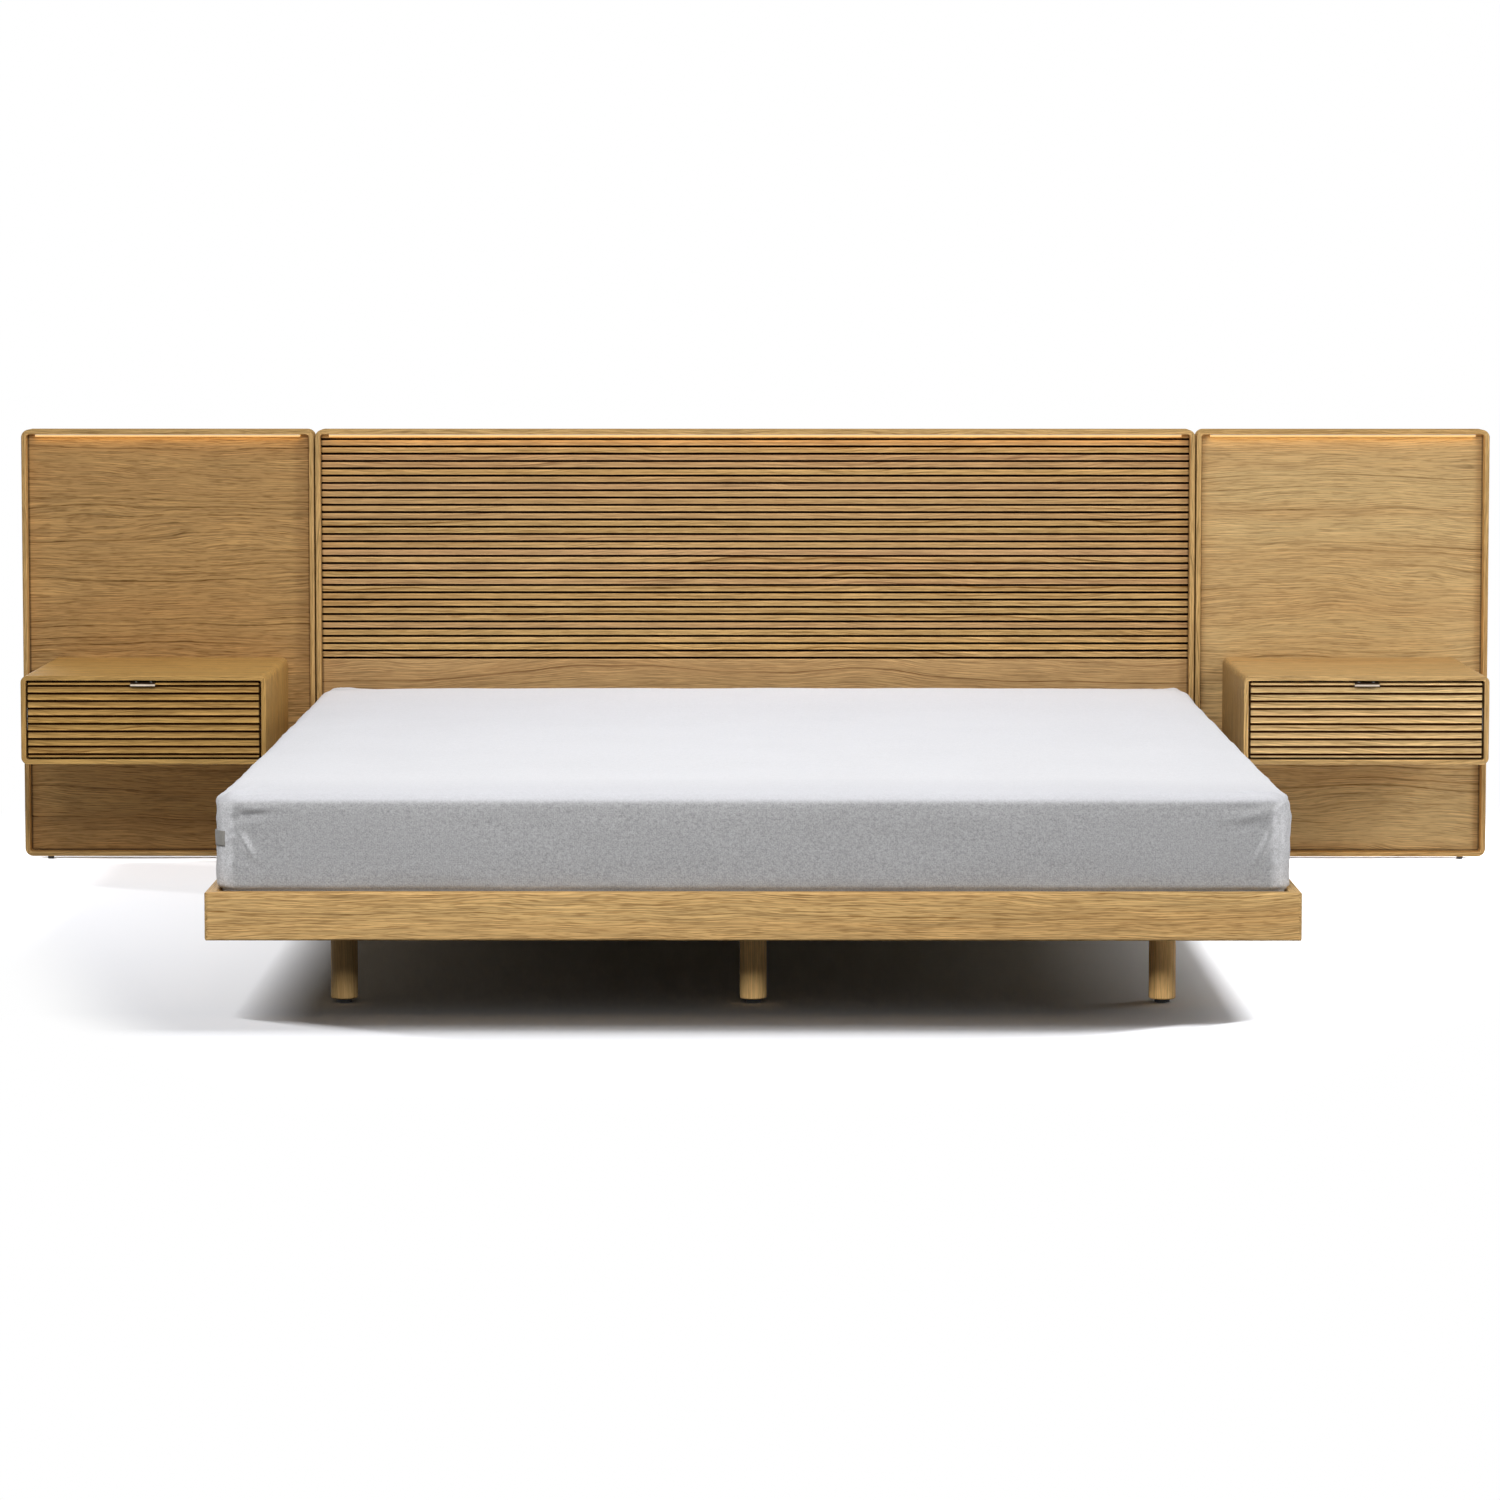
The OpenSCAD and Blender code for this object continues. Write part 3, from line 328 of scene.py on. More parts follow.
# The brown and warm palettes are darker shaded copies of the oak, and the pale one a brighter lit
# copy: painted shade and painted light
OAK_SHADED_BROWN = dict(light="#B8935E", dark="#684820", warm="#A47A4A")
OAK_LIT_PALE = dict(light="#C4A775", dark="#77592E", warm="#B28B5A")
OAK_SHADED_WARM = dict(light="#D0A763", dark="#7C5526", warm="#BE8B4A")
PINE = dict(light="#E2CB9D", dark="#B98F58", warm="#D6B57E", line=0.6, pores=0.12,
            roughness=0.62)


def plywood(name, grain, axis, ply_mm=2.0):
    """Birch plywood: pale rotary-cut faces across the axis, and edges where the plies show as
    brown and pale bands. Plies are 1.3 mm thick, drawn 2 mm thick."""
    made, tree, place = start(name)
    along = turned(tree, place, grain)
    cloud = stretched_noise(tree, along, (160, 60, 26), 3.0)
    fleck = stretched_noise(tree, along, (14, 2, 2), 1.0, 4)
    face = add(tree, "ShaderNodeMix",
               {0: cloud, 6: colour("#E3CFA6"), 7: colour("#CDB080")}, data_type="RGBA")
    spot = steps(add(tree, "ShaderNodeValToRGB", {0: fleck}), (0.6, 0.0), (0.75, 0.35))
    face = add(tree, "ShaderNodeMix", {0: spot, 6: face.outputs[2], 7: colour("#A98A5E")},
               data_type="RGBA").outputs[2]
    level = add(tree, "ShaderNodeSeparateXYZ", {0: place}).outputs[axis]
    ply = add(tree, "ShaderNodeMath", {0: level, 1: ply_mm}, operation="PINGPONG").outputs[0]
    ply = steps(add(tree, "ShaderNodeValToRGB", {0: ply}), (0.3, 0.0), (0.9, 1.0))
    edge = add(tree, "ShaderNodeMix", {0: ply, 6: colour("#D9C194"), 7: colour("#8F6E45")},
               data_type="RGBA").outputs[2]
    tint = add(tree, "ShaderNodeMix", {0: facing(tree, axis, FACE), 6: edge, 7: face},
               data_type="RGBA").outputs[2]
    close(tree, {"Base Color": tint, "Roughness": 0.58}, spot, 0.15)
    return made


# --- Metal, plastic and light ---

def metal(name, code, roughness, brushed_mm, mottle=0.12, lip=None, lip_mm=(1.4, 2.2)):
    """Metal. Drawing, brushing or rolling leaves long fine lines, whose sizes are given along
    X, Y and Z. They are drawn wider than real ones, which are under 0.1 mm. A lip is a
    level and a colour: a painted highlight there, a bright band as if the metal caught the
    light. The bright part fades over lip_mm above and below."""
    made, tree, place = start(name)
    lines = stretched_noise(tree, place, brushed_mm, 2.0)
    cloud = stretched_noise(tree, place, (23, 23, 23), 3.0, 9)
    worn = add(tree, "ShaderNodeMapRange",
               {0: cloud, 1: 0.3, 2: 0.7, 3: 1 - mottle, 4: 1 + mottle}).outputs[0]
    tint = colour(code)[:3]
    # Painted highlight: a bright band at the lip's level
    if lip:
        level = add(tree, "ShaderNodeSeparateXYZ", {0: place}).outputs[2]
        off = add(tree, "ShaderNodeMath", {0: level, 1: lip[0]}, operation="SUBTRACT").outputs[0]
        off = add(tree, "ShaderNodeMath", {0: off}, operation="ABSOLUTE").outputs[0]
        lit_band = add(tree, "ShaderNodeMapRange", {0: off, 1: lip_mm[0], 2: lip_mm[1],
                                                 3: 1.0, 4: 0.0})
        tint = add(tree, "ShaderNodeMix", {0: lit_band.outputs[0], 6: colour(code),
                                           7: colour(lip[1])}, data_type="RGBA").outputs[2]
    tint = add(tree, "ShaderNodeVectorMath", {0: tint, "Scale": worn},
               operation="SCALE").outputs[0]
    rough = add(tree, "ShaderNodeMapRange",
                {0: lines, 1: 0.3, 2: 0.7, 3: roughness - 0.08, 4: roughness + 0.1}).outputs[0]
    close(tree, {"Base Color": tint, "Roughness": rough}, lines, 0.04, Metallic=1.0)
    return made


def moulded(name, code, roughness, grain_mm):
    """Moulded plastic or rubber, with the pebbled grain of the mould. The grain is about
    0.3 mm wide, drawn wider to show."""
    made, tree, place = start(name)
    grain = stretched_noise(tree, place, (grain_mm,) * 3, 2.0)
    dust = stretched_noise(tree, place, (9, 9, 9), 3.0, 5)
    gain = add(tree, "ShaderNodeMapRange", {0: dust, 1: 0.3, 2: 0.8, 3: 0.9, 4: 1.25}).outputs[0]
    tint = add(tree, "ShaderNodeVectorMath", {0: colour(code)[:3], "Scale": gain},
               operation="SCALE").outputs[0]
    close(tree, {"Base Color": tint, "Roughness": roughness}, grain, 0.12)
    return made


def opal_light(name, pitch_mm=16):
    """Opal acrylic over a warm strip of lamps, with a faint brighter spot over each lamp."""
    made, tree, place = start(name)
    run = add(tree, "ShaderNodeSeparateXYZ", {0: place}).outputs[0]
    spot = add(tree, "ShaderNodeMath", {0: run, 1: pitch_mm}, operation="PINGPONG").outputs[0]
    gain = add(tree, "ShaderNodeMapRange", {0: spot, 1: 0, 2: pitch_mm, 3: 1.0, 4: 0.93})
    glow = add(tree, "ShaderNodeVectorMath",
               {0: colour("#FFC272")[:3], "Scale": gain.outputs[0]}, operation="SCALE")
    close(tree, {"Base Color": colour("#978A6C"), "Roughness": 0.5,
                 "Emission Color": glow.outputs[0]}, Emission_Strength=0.9)
    return made


# --- Fabric ---

def cloth(name, top, side, thread_mm, heather, brow=None, flank=None, edge_mm=(350, 361),
          brow_mm=(-790, -1040), bump_mm=0.5, sheen=0.25):
    """Knitted or woven fabric. The threads cross as a fine lattice, drawn about three times
    coarser than real, and pale and dark fibres are mixed in the yarn as heather. The colour
    goes from side to top over the rounded edge, whose levels are edge_mm. The brow is the
    colour of the top towards the foot, between the places brow_mm along Y, and the flank
    that of the long sides. On the sheet, the grey side and brow are painted shade, as those
    faces turn from the light."""
    made, tree, place = start(name)
    split = add(tree, "ShaderNodeSeparateXYZ", {0: place}).outputs
    total = None
    for axis in range(3):
        turn = add(tree, "ShaderNodeMath", {0: split[axis], 1: 2 * math.pi / thread_mm},
                   operation="MULTIPLY")
        wave = add(tree, "ShaderNodeMath", {0: turn.outputs[0]}, operation="SINE").outputs[0]
        total = wave if total is None else add(tree, "ShaderNodeMath", {0: total, 1: wave},
                                               operation="ADD").outputs[0]
    yarn = stretched_noise(tree, place, (2.6, 2.6, 2.6), 2.0)
    slub = stretched_noise(tree, place, (8, 8, 6), 2.0, 6)
    cloud = stretched_noise(tree, place, (260, 260, 120), 2.0, 3)
    level = add(tree, "ShaderNodeMapRange",
                {0: split[2], 1: edge_mm[0], 2: edge_mm[1], 3: 0.0, 4: 1.0},
                interpolation_type="SMOOTHSTEP").outputs[0]
    sideways = add(tree, "ShaderNodeMath", {0: facing(tree, 0)}, operation="ABSOLUTE").outputs[0]
    sideways = add(tree, "ShaderNodeMapRange", {0: sideways, 1: 0.12, 2: 0.6}).outputs[0]
    # Painted shade: the ends take the grey side colour, the long sides the paler flank
    low = add(tree, "ShaderNodeMix", {0: sideways, 6: colour(side), 7: colour(flank or side)},
              data_type="RGBA").outputs[2]
    near = add(tree, "ShaderNodeMapRange",
               {0: split[1], 1: brow_mm[0], 2: brow_mm[1], 3: 0.0, 4: 1.0},
               interpolation_type="SMOOTHSTEP").outputs[0]
    # Painted shade: the top greys towards the foot
    high = add(tree, "ShaderNodeMix", {0: near, 6: colour(top), 7: colour(brow or top)},
               data_type="RGBA").outputs[2]
    tint = add(tree, "ShaderNodeMix", {0: level, 6: low, 7: high},
               data_type="RGBA").outputs[2]
    # The heather is strong on the side and faint on the top
    spread = add(tree, "ShaderNodeMapRange", {0: level, 3: heather, 4: heather * 0.25}).outputs[0]
    mixed = add(tree, "ShaderNodeMath", {0: slub, 1: 0.45, 2: yarn},
                operation="MULTIPLY_ADD").outputs[0]
    mixed = add(tree, "ShaderNodeMath", {0: mixed, 1: 0.725}, operation="SUBTRACT").outputs[0]
    mixed = add(tree, "ShaderNodeMath", {0: mixed, 1: spread}, operation="MULTIPLY").outputs[0]
    soft = add(tree, "ShaderNodeMapRange", {0: cloud, 1: 0.3, 2: 0.7, 3: 0.985, 4: 1.015})
    gain = add(tree, "ShaderNodeMath", {0: mixed, 1: soft.outputs[0]},
               operation="ADD").outputs[0]
    tint = add(tree, "ShaderNodeVectorMath", {0: tint, "Scale": gain},
               operation="SCALE").outputs[0]
    relief = add(tree, "ShaderNodeMath", {0: total, 1: 0.05, 2: yarn},
                 operation="MULTIPLY_ADD").outputs[0]
    close(tree, {"Base Color": tint, "Roughness": 0.88}, relief, bump_mm,
          Sheen_Weight=sheen, Sheen_Roughness=0.5)
    return made


# --- Materials on the solids ---

def dress(material, *names):
    """Gives the named nodes a material."""
    for name in names:
        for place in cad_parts[name].material_slots:
            place.material = material


def middle_and_half(name):
    """Middle and half size of a node across X and Z, in millimetres."""
    lo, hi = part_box(name)
    return (((lo[0] + hi[0]) / 2 / MM, (lo[2] + hi[2]) / 2 / MM),
            ((hi[0] - lo[0]) / 2 / MM, (hi[2] - lo[2]) / 2 / MM))


def both(*names):
    """The left and the right node of each name."""
    return [f"{side}_{name}" for side in ("left", "right") for name in names]


def face_level(name):
    """Where the face of a board or front is along Y, in millimetres."""
    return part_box(name)[0][1] / MM


# The level of the first groove, the spacing of the grooves and how many there are
PITCH_MM = 15.4
BOARD_GROOVES = (889.2, PITCH_MM, 31)
FRONT_GROOVES = (407.3, PITCH_MM, 10)
PULL_LIP_MM = 409.6

# Lacquered oak in closed rings: the grain turns at each mitre, so the corners read as joints
# The tones make the left shell a darker copy and the right shell a brighter one: painted shade and
# painted light
for i, (name, oak, tone, gloss, shade_minus_x) in enumerate((
        ("centre_panel_frame", OAK, 1.0, 0.0, 1.0),
        ("left_panel_frame", OAK, 1.0, 0.0, 1.0),
        ("right_panel_frame", OAK, 1.02, 0.0, 1.0),
        ("left_nightstand_shell", OAK_SHADED_WARM, 0.94, 0.15, 1.0),
        # The right shell's faces towards -X are darkened as painted shade
        ("right_nightstand_shell", OAK, 1.06, 0.15, 0.7))):
    dress(wood(f"lacquered_oak_{name}", "x", **oak, line=0.5, shift=20.0 + 13 * i, tone=tone,
               ring=middle_and_half(name), gloss=gloss, shade_minus_x=shade_minus_x), name)
# Milled flutes: slats of slightly different colour between grooves painted dark brown as shade
dress(wood("milled_oak_fluted_board", "x", **OAK, shift=3.0, tone=0.93, gloss=0.0,
           flutes=(face_level("centre_panel_board"), *BOARD_GROOVES, 0.5),
           border=(*middle_and_half("centre_panel_board"), 1.0, 5.0, 0.35)),
      "centre_panel_board")
# Sliced veneer: calm long lines with arches. The left board is a browner, darker copy of the oak
# and the right one a paler, brighter copy: painted shade and painted light
dress(wood("sliced_oak_left_board", "x", **OAK_SHADED_BROWN, shift=11.0, tone=1.07, line=0.85,
           pores=0.5, border=(*middle_and_half("left_panel_board"), 1.5, 5.0, 0.28)),
      "left_panel_board")
dress(wood("sliced_oak_right_board", "x", **OAK_LIT_PALE, shift=31.0, tone=1.12, line=0.8,
           streak=0.3, border=(*middle_and_half("right_panel_board"), 1.5, 4.5, 0.38)),
      "right_panel_board")
# The drawer fronts are milled too, and each slat darkens under the groove above it as painted
# shade
# The left front is a darker copy and the right one a much brighter copy: painted shade and painted
# light
for side, oak, shift, tone in (("left", OAK_SHADED_WARM, 41.0, 0.94), ("right", OAK_LIT_PALE, 50.0, 1.36)):
    name = f"{side}_drawer_front"
    dress(wood(f"milled_oak_{name}", "x", **oak, shift=shift, tone=tone, gloss=0.0,
               flutes=(face_level(name), *FRONT_GROOVES, 0.1, 0.4, (0.62, 1.08)),
               border=(*middle_and_half(name), 0.8, 2.0, 0.12, True)), name)
dress(wood("sliced_oak_stand_back", "x", **OAK, shift=61.0), *both("nightstand_back"))
# Sawn and lacquered rails: closer, livelier lines than the veneer
dress(wood("sawn_oak_cross_rail", "x", **OAK, bend_mm=34, pores=0.55, shift=71.0, tone=1.05,
           space_mm=8, streak=0.34),
      "foot_rail", "head_rail")
dress(wood("sawn_oak_side_rail", "y", **OAK, bend_mm=34, shift=81.0), *both("side_rail"))
# Turned legs: quiet upright grain, paler from left to right as painted light, the way the light on
# them grows to the right
for i, (tone, *names) in enumerate(((0.72, "front_left_leg", "rear_left_leg"),
                                    (1.25, "front_middle_leg", "rear_middle_leg", "centre_leg"),
                                    (1.7, "front_right_leg", "rear_right_leg"))):
    dress(wood(f"turned_oak_leg_{i + 1}", "z", **OAK, bend_mm=12, shift=91.0 + 7 * i,
               line=0.4, pores=0.3, tone=tone, streak=0.2), *names)
# Planed pine and bare birch plywood: pale timber that only shows from behind and below
dress(wood("planed_pine_cross", "x", **PINE, shift=5.0), "back_battens", "cross_bearers")
dress(wood("planed_pine_long", "y", **PINE, shift=15.0), "slat_ledgers", "centre_beam")
dress(plywood("rotary_cut_birch_slat", "x", 2), *both("slats"))
dress(plywood("rotary_cut_birch_drawer_side", "y", 0), *both("drawer_sides"))
dress(plywood("rotary_cut_birch_drawer_back", "x", 1), *both("drawer_back"))
dress(plywood("rotary_cut_birch_drawer_bottom", "x", 2), *both("drawer_bottom"))

# Zinc-plated steel: a cool sheen, drawn along the runners, rolled on plates, cloudy on bolts
dress(metal("zinc_plated_drawn_runner", "#B9BBBD", 0.34, (2, 90, 2)),
      *both("outer_runners", "middle_runners", "inner_runners"))
dress(metal("zinc_plated_rolled_bracket", "#A9ACAF", 0.4, (60, 60, 2)),
      "wall_hangers", "bed_brackets", "nightstand_plates", "corner_brackets")
dress(metal("zinc_plated_turned_fastener", "#A5A6A4", 0.36, (3, 3, 3)),
      "joining_bolts", "nightstand_bolts", "runner_screws", "frame_screws", "leg_bolts",
      *both("drawer_screws"))
# Anodised aluminium: an even pale grey with the fine lines of extrusion
dress(metal("anodised_extruded_channel", "#C9CBCC", 0.38, (120, 1.5, 1.5)), "light_channels")
# Brushed bronze: nearly black, with a painted highlight along the lip
dress(metal("brushed_bronze_pull", "#2A1D14", 0.36, (30, 1.2, 1.2), lip=(PULL_LIP_MM, "#C9BAA8")),
      *both("drawer_pull"))
# Opal acrylic: a soft amber line of light under the top of each frame
dress(opal_light("extruded_opal_acrylic"), "light_diffusers")
# Moulded black parts: dull points where the bed and headboard meet the floor
dress(moulded("moulded_black_nylon_glide", "#191919", 0.5, 1.5), "headboard_glides",
      "leg_glides")
dress(moulded("moulded_black_rubber_grommet", "#1D1D1C", 0.75, 1.2), "cable_grommet")


# --- Mattress and fitted sheet ---

bed_lo, bed_hi = (Vector(p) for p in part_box("mattress"))
MIDDLE = Vector(((bed_lo.x + bed_hi.x) / 2, (bed_lo.y + bed_hi.y) / 2, bed_lo.z))
WIDTH, LENGTH, HEIGHT, CROWN = 1.800, 2.000, 0.222, 0.010
RISE = HEIGHT - CROWN
EDGE_R, LOW_R, CORNER_R = 0.018, 0.012, 0.036
# The mattress swells over the rails, whose tops are this high above its underside. The
# swell grows over the first 6 mm above them, and is gone 90 mm in from the edge
RAIL_TOP, SWELL, DRAW, SWELL_RISE, SWELL_IN = 0.050, 0.0095, 0.003, 0.006, 0.09
# How far the sheet is turned under, the sheet's and the tag's thickness, and how far the
# core lies inside the sheet
UNDER, SHEET_THICK, TAG_THICK, CORE_IN = 0.110, 0.0008, 0.001, 0.002


def rounded_plan(x, y):
    """Moves a point of the sharp rectangle into one with round corners. Returns the point,
    its way out and how far inside the outline it is."""
    far = Vector((WIDTH / 2 - CORNER_R, LENGTH / 2 - CORNER_R))
    sx, sy = math.copysign(1, x), math.copysign(1, y)
    qx, qy = (abs(x) - far.x) / CORNER_R, (abs(y) - far.y) / CORNER_R
    if qx > 0 and qy > 0:
        long = max(qx, qy)
        q = Vector((qx, qy)).normalized() * long
        out = Vector((sx * q.x, sy * q.y)).normalized()
        return Vector((sx * (far.x + q.x * CORNER_R), sy * (far.y + q.y * CORNER_R))), out, \
            CORNER_R * (1 - long)
    gap_x, gap_y = WIDTH / 2 - abs(x), LENGTH / 2 - abs(y)
    if gap_x < gap_y:
        return Vector((x, y)), Vector((sx, 0)), gap_x
    return Vector((x, y)), Vector((0, sy)), gap_y


def shaped(x, y, z):
    """A point of the mattress for a point on the surface of its sharp block."""
    plan, out, inside = rounded_plan(x, y)
    top, low = HEIGHT - z < TINY, z < TINY
    radius, level, turn = EDGE_R, RISE, 90.0
    if top and inside < EDGE_R:
        turn = 45 * (1 - inside / EDGE_R)
    elif not low and 0 < RISE - z < EDGE_R:
        turn = 45 + 45 * (RISE - z) / EDGE_R
    elif low and inside < LOW_R:
        radius, level, turn = LOW_R, 0.0, 45 * (1 - inside / LOW_R)
    elif not top and 0 < z < LOW_R:
        radius, level, turn = LOW_R, 0.0, 45 + 45 * z / LOW_R
    height = RISE if top else z
    if turn < 90:
        a = math.radians(turn)
        plan = plan + out * (inside - radius * (1 - math.sin(a)))
        height = abs(level - radius * (1 - math.cos(a)))
    if top:
        u, v = abs(plan.x) / (WIDTH / 2), abs(plan.y) / (LENGTH / 2)
        height += CROWN * (1 - min(u, 1) ** 6) * (1 - min(v, 1) ** 6)
    # Above the rails the sides swell, and they pull in a little between the corners
    u, v = abs(x) / (WIDTH / 2), abs(y) / (LENGTH / 2)
    free = min(max((height - RAIL_TOP) / SWELL_RISE, 0), 1)
    edge = max(0.0, 1 - max(inside, 0) / SWELL_IN)
    between = max(0.0, 1 - (v if abs(out.x) > abs(out.y) else u) ** 4)
    plan = plan + out * edge * free * (SWELL - DRAW * between)
    return Vector((plan.x, plan.y, height))


def spaced(length, fine, coarse, margin=0.08):
    """Places along an edge, close together near its ends where the cloth creases."""
    near = round(margin / fine)
    far = round((length - 2 * margin) / coarse)
    row = [margin * i / near for i in range(near)]
    row += [margin + (length - 2 * margin) * i / far for i in range(far)]
    row += [length - margin * (near - i) / near for i in range(near + 1)]
    return [place - length / 2 for place in row]


def block(fine, coarse):
    """The whole closed mattress as a grid of points on a sharp block, with its faces."""
    xs, ys = spaced(WIDTH, fine, coarse), spaced(LENGTH, fine, coarse)
    nz = round(RISE / fine)
    zs = [RISE * i / nz for i in range(nz)] + [HEIGHT]
    nx, ny = len(xs) - 1, len(ys) - 1
    spots, sharp, faces = {}, [], []

    def corner(*key):
        if key not in spots:
            spots[key] = len(sharp)
            sharp.append((xs[key[0]], ys[key[1]], zs[key[2]]))
        return spots[key]

    def quad(*keys):
        faces.append([corner(*key) for key in keys])

    for i in range(nx):
        for j in range(ny):
            quad((i, j, nz), (i + 1, j, nz), (i + 1, j + 1, nz), (i, j + 1, nz))
            quad((i, j, 0), (i, j + 1, 0), (i + 1, j + 1, 0), (i + 1, j, 0))
    for k in range(nz):
        for i in range(nx):
            quad((i, 0, k), (i + 1, 0, k), (i + 1, 0, k + 1), (i, 0, k + 1))
            quad((i + 1, ny, k), (i, ny, k), (i, ny, k + 1), (i + 1, ny, k + 1))
        for j in range(ny):
            quad((nx, j, k), (nx, j + 1, k), (nx, j + 1, k + 1), (nx, j, k + 1))
            quad((0, j + 1, k), (0, j, k), (0, j, k + 1), (0, j + 1, k + 1))
    return np.array(sharp), faces


def put_in(name, data):
    """Puts a mesh, lamp or camera in the scene, and returns its object."""
    made = bpy.data.objects.new(name, data)
    bpy.context.scene.collection.objects.link(made)
    return made


def new_piece(name, points, faces, material):
    """A smooth mesh in the scene."""
    made = bpy.data.meshes.new(name)
    made.from_pydata([tuple(p) for p in points], [], faces)
    made.materials.append(material)
    made.shade_smooth()
    return put_in(name, made)


def read(mesh, what):
    """The place, co, or the way out, normal, of each point of a mesh."""
    flat = np.empty(len(mesh.vertices) * 3)
    mesh.vertices.foreach_get(what, flat)
    return flat.reshape(-1, 3)


def weigh(piece, name, weights):
    """Gives a piece a named group with a weight for each point. Returns the name."""
    group = piece.vertex_groups.new(name=name)
    for i, weight in enumerate(weights):
        if weight > 0:
            group.add([i], float(weight), "REPLACE")
    return name


def slack_at_corners(points):
    """How much spare cloth a fitted sheet has at each point: most at the four corners, in
    the upper part of the side and just over the edge."""
    reach, low, over = 0.13, 0.07, 0.06
    near = np.hypot(np.maximum(0, WIDTH / 2 - np.abs(points[:, 0])),
                    np.maximum(0, LENGTH / 2 - np.abs(points[:, 1])))
    upper = np.clip((points[:, 2] - low) / over, 0, 1)
    return np.clip(1 - near / reach, 0, 1) ** 0.7 * upper


def drawn_tight(points, faces, sharp):
    """Fills the cloth out with a short simulation. It is held under the mattress and over
    the middle of the top, and spare cloth at the corners buckles. No point may move further
    than the cap. The cloth starts with faint waves, or it would not buckle."""
    cap, wave, waves_per_m = 0.004, 0.001, 30
    held_in, over = 0.16, 0.10  # the top is held from so far in, growing over this distance
    wavy = np.array([noise.noise(Vector(p) * waves_per_m) for p in points])[:, None]
    piece = new_piece("trial_sheet", points, faces, sheet_cloth)
    piece.data.vertices.foreach_set(
        "co", (points + read(piece.data, "normal") * wavy * wave).ravel())
    held = np.clip((RAIL_TOP + 0.004 - points[:, 2]) / 0.008, 0, 1)
    middle = np.minimum(WIDTH / 2 - np.abs(sharp[:, 0]), LENGTH / 2 - np.abs(sharp[:, 1]))
    held = np.maximum(held, np.clip((middle - held_in) / over, 0, 1))
    trial = piece.modifiers.new("cloth", "CLOTH")
    for key, value in dict(
            quality=5, mass=0.2, tension_stiffness=40, compression_stiffness=40,
            shear_stiffness=12, bending_stiffness=0.05, air_damping=1,
            vertex_group_mass=weigh(piece, "held", held),
            vertex_group_shrink=weigh(piece, "slack", slack_at_corners(points)),
            shrink_min=0.0, shrink_max=-0.12, use_pressure=True,
            uniform_pressure_force=0.05).items():
        setattr(trial.settings, key, value)
    trial.settings.effector_weights.gravity = 0
    trial.collision_settings.use_collision = False
    for moment in range(1, 15):
        bpy.context.scene.frame_set(moment)
    graph = bpy.context.evaluated_depsgraph_get()
    moved = read(piece.evaluated_get(graph).data, "co") - points
    bpy.context.scene.frame_set(1)
    bpy.data.objects.remove(piece)
    far = np.linalg.norm(moved, axis=1, keepdims=True)
    return points + moved * np.tanh(far / cap) * cap / np.maximum(far, 1e-9)


def ridge(points, ends, width, height):
    """How far a soft fold along a line between two points lifts the cloth near it."""
    first, last = np.array(ends[0]), np.array(ends[1])
    run = last - first
    along = np.clip((points - first) @ run / (run @ run), 0, 1)
    off = np.linalg.norm(points - first - along[:, None] * run, axis=1)
    taper = np.sin(np.pi * np.clip(along * 0.9 + 0.1, 0, 1)) ** 0.8
    crest = np.exp(-(off / width) ** 2) - 0.45 * np.exp(-(off / (2.2 * width)) ** 2)
    return height * taper * crest


def creased(points, skin):
    """Adds what a fitted sheet shows near its corners: a seam down each corner, short folds
    that run out from the top of it, fine puckers beside the seam, and slight waves along
    the sides."""
    draw = random.Random(5)
    lift = np.zeros(len(points))
    up, out_or_in = (0, 0, 1), (1, 1, -1)

    def fold(knot, ahead, aside, angles, reaches, widths, heights, signs=None):
        """The lift of one fold from a knot. It runs ahead, turned aside by an angle."""
        angle = math.radians(draw.uniform(*angles))
        reach = draw.uniform(*reaches)
        run = Vector([math.cos(angle) * reach * a + math.sin(angle) * reach * b
                      for a, b in zip(ahead, aside)])
        width, height = draw.uniform(*widths), draw.uniform(*heights)
        return ridge(points, (knot, knot + run), width,
                     height * draw.choice(signs) if signs else height)

    for sx in (-1, 1):
        for sy in (-1, 1):
            across, along = (-sx, 0, 0), (0, -sy, 0)
            # The seam is 22 mm in from the side, and runs from 198 mm up down past the rail
            top = Vector((sx * (WIDTH / 2 + SWELL - 0.022), sy * (LENGTH / 2 + SWELL), 0.198))
            foot = Vector((top.x, top.y, RAIL_TOP - 0.03))
            lift += ridge(points, (top, foot), 0.005, -0.0045)
            for row in range(7):
                knot = top + Vector((sx * draw.uniform(-0.012, 0.004), 0,
                                     draw.uniform(-0.035, 0.008)))
                lift += fold(knot, across, up, (-78, 12), (0.035, 0.10), (0.006, 0.009),
                             (0.0030, 0.0062), out_or_in)
            for row in range(9):
                knot = top + Vector((sx * draw.uniform(-0.004, 0.012), 0,
                                     draw.uniform(-0.115, 0.004)))
                lift += fold(knot, across, up, (-40, 30), (0.015, 0.04), (0.0042, 0.006),
                             (0.0020, 0.0038))
            for row in range(5):
                knot = Vector((sx * (WIDTH / 2 + SWELL - 0.002), top.y - sy * 0.030,
                               0.200 + draw.uniform(-0.035, 0.006)))
                lift += fold(knot, along, up, (-75, 10), (0.04, 0.11), (0.006, 0.010),
                             (0.0020, 0.0044), out_or_in)
            for row in range(6):
                knot = Vector((sx * (WIDTH / 2 - EDGE_R), sy * (LENGTH / 2 - EDGE_R), RISE))
                lift += fold(knot, across, along, (4, 86), (0.05, 0.15), (0.007, 0.012),
                             (0.0018, 0.0040))
    free = np.clip((points[:, 2] - RAIL_TOP) / 0.02, 0, 1)
    wave = np.array([noise.noise(Vector((p[0] * 7, p[1] * 7, p[2] * 12))) for p in points])
    return points + skin * ((lift + 0.0016 * wave) * free)[:, None]


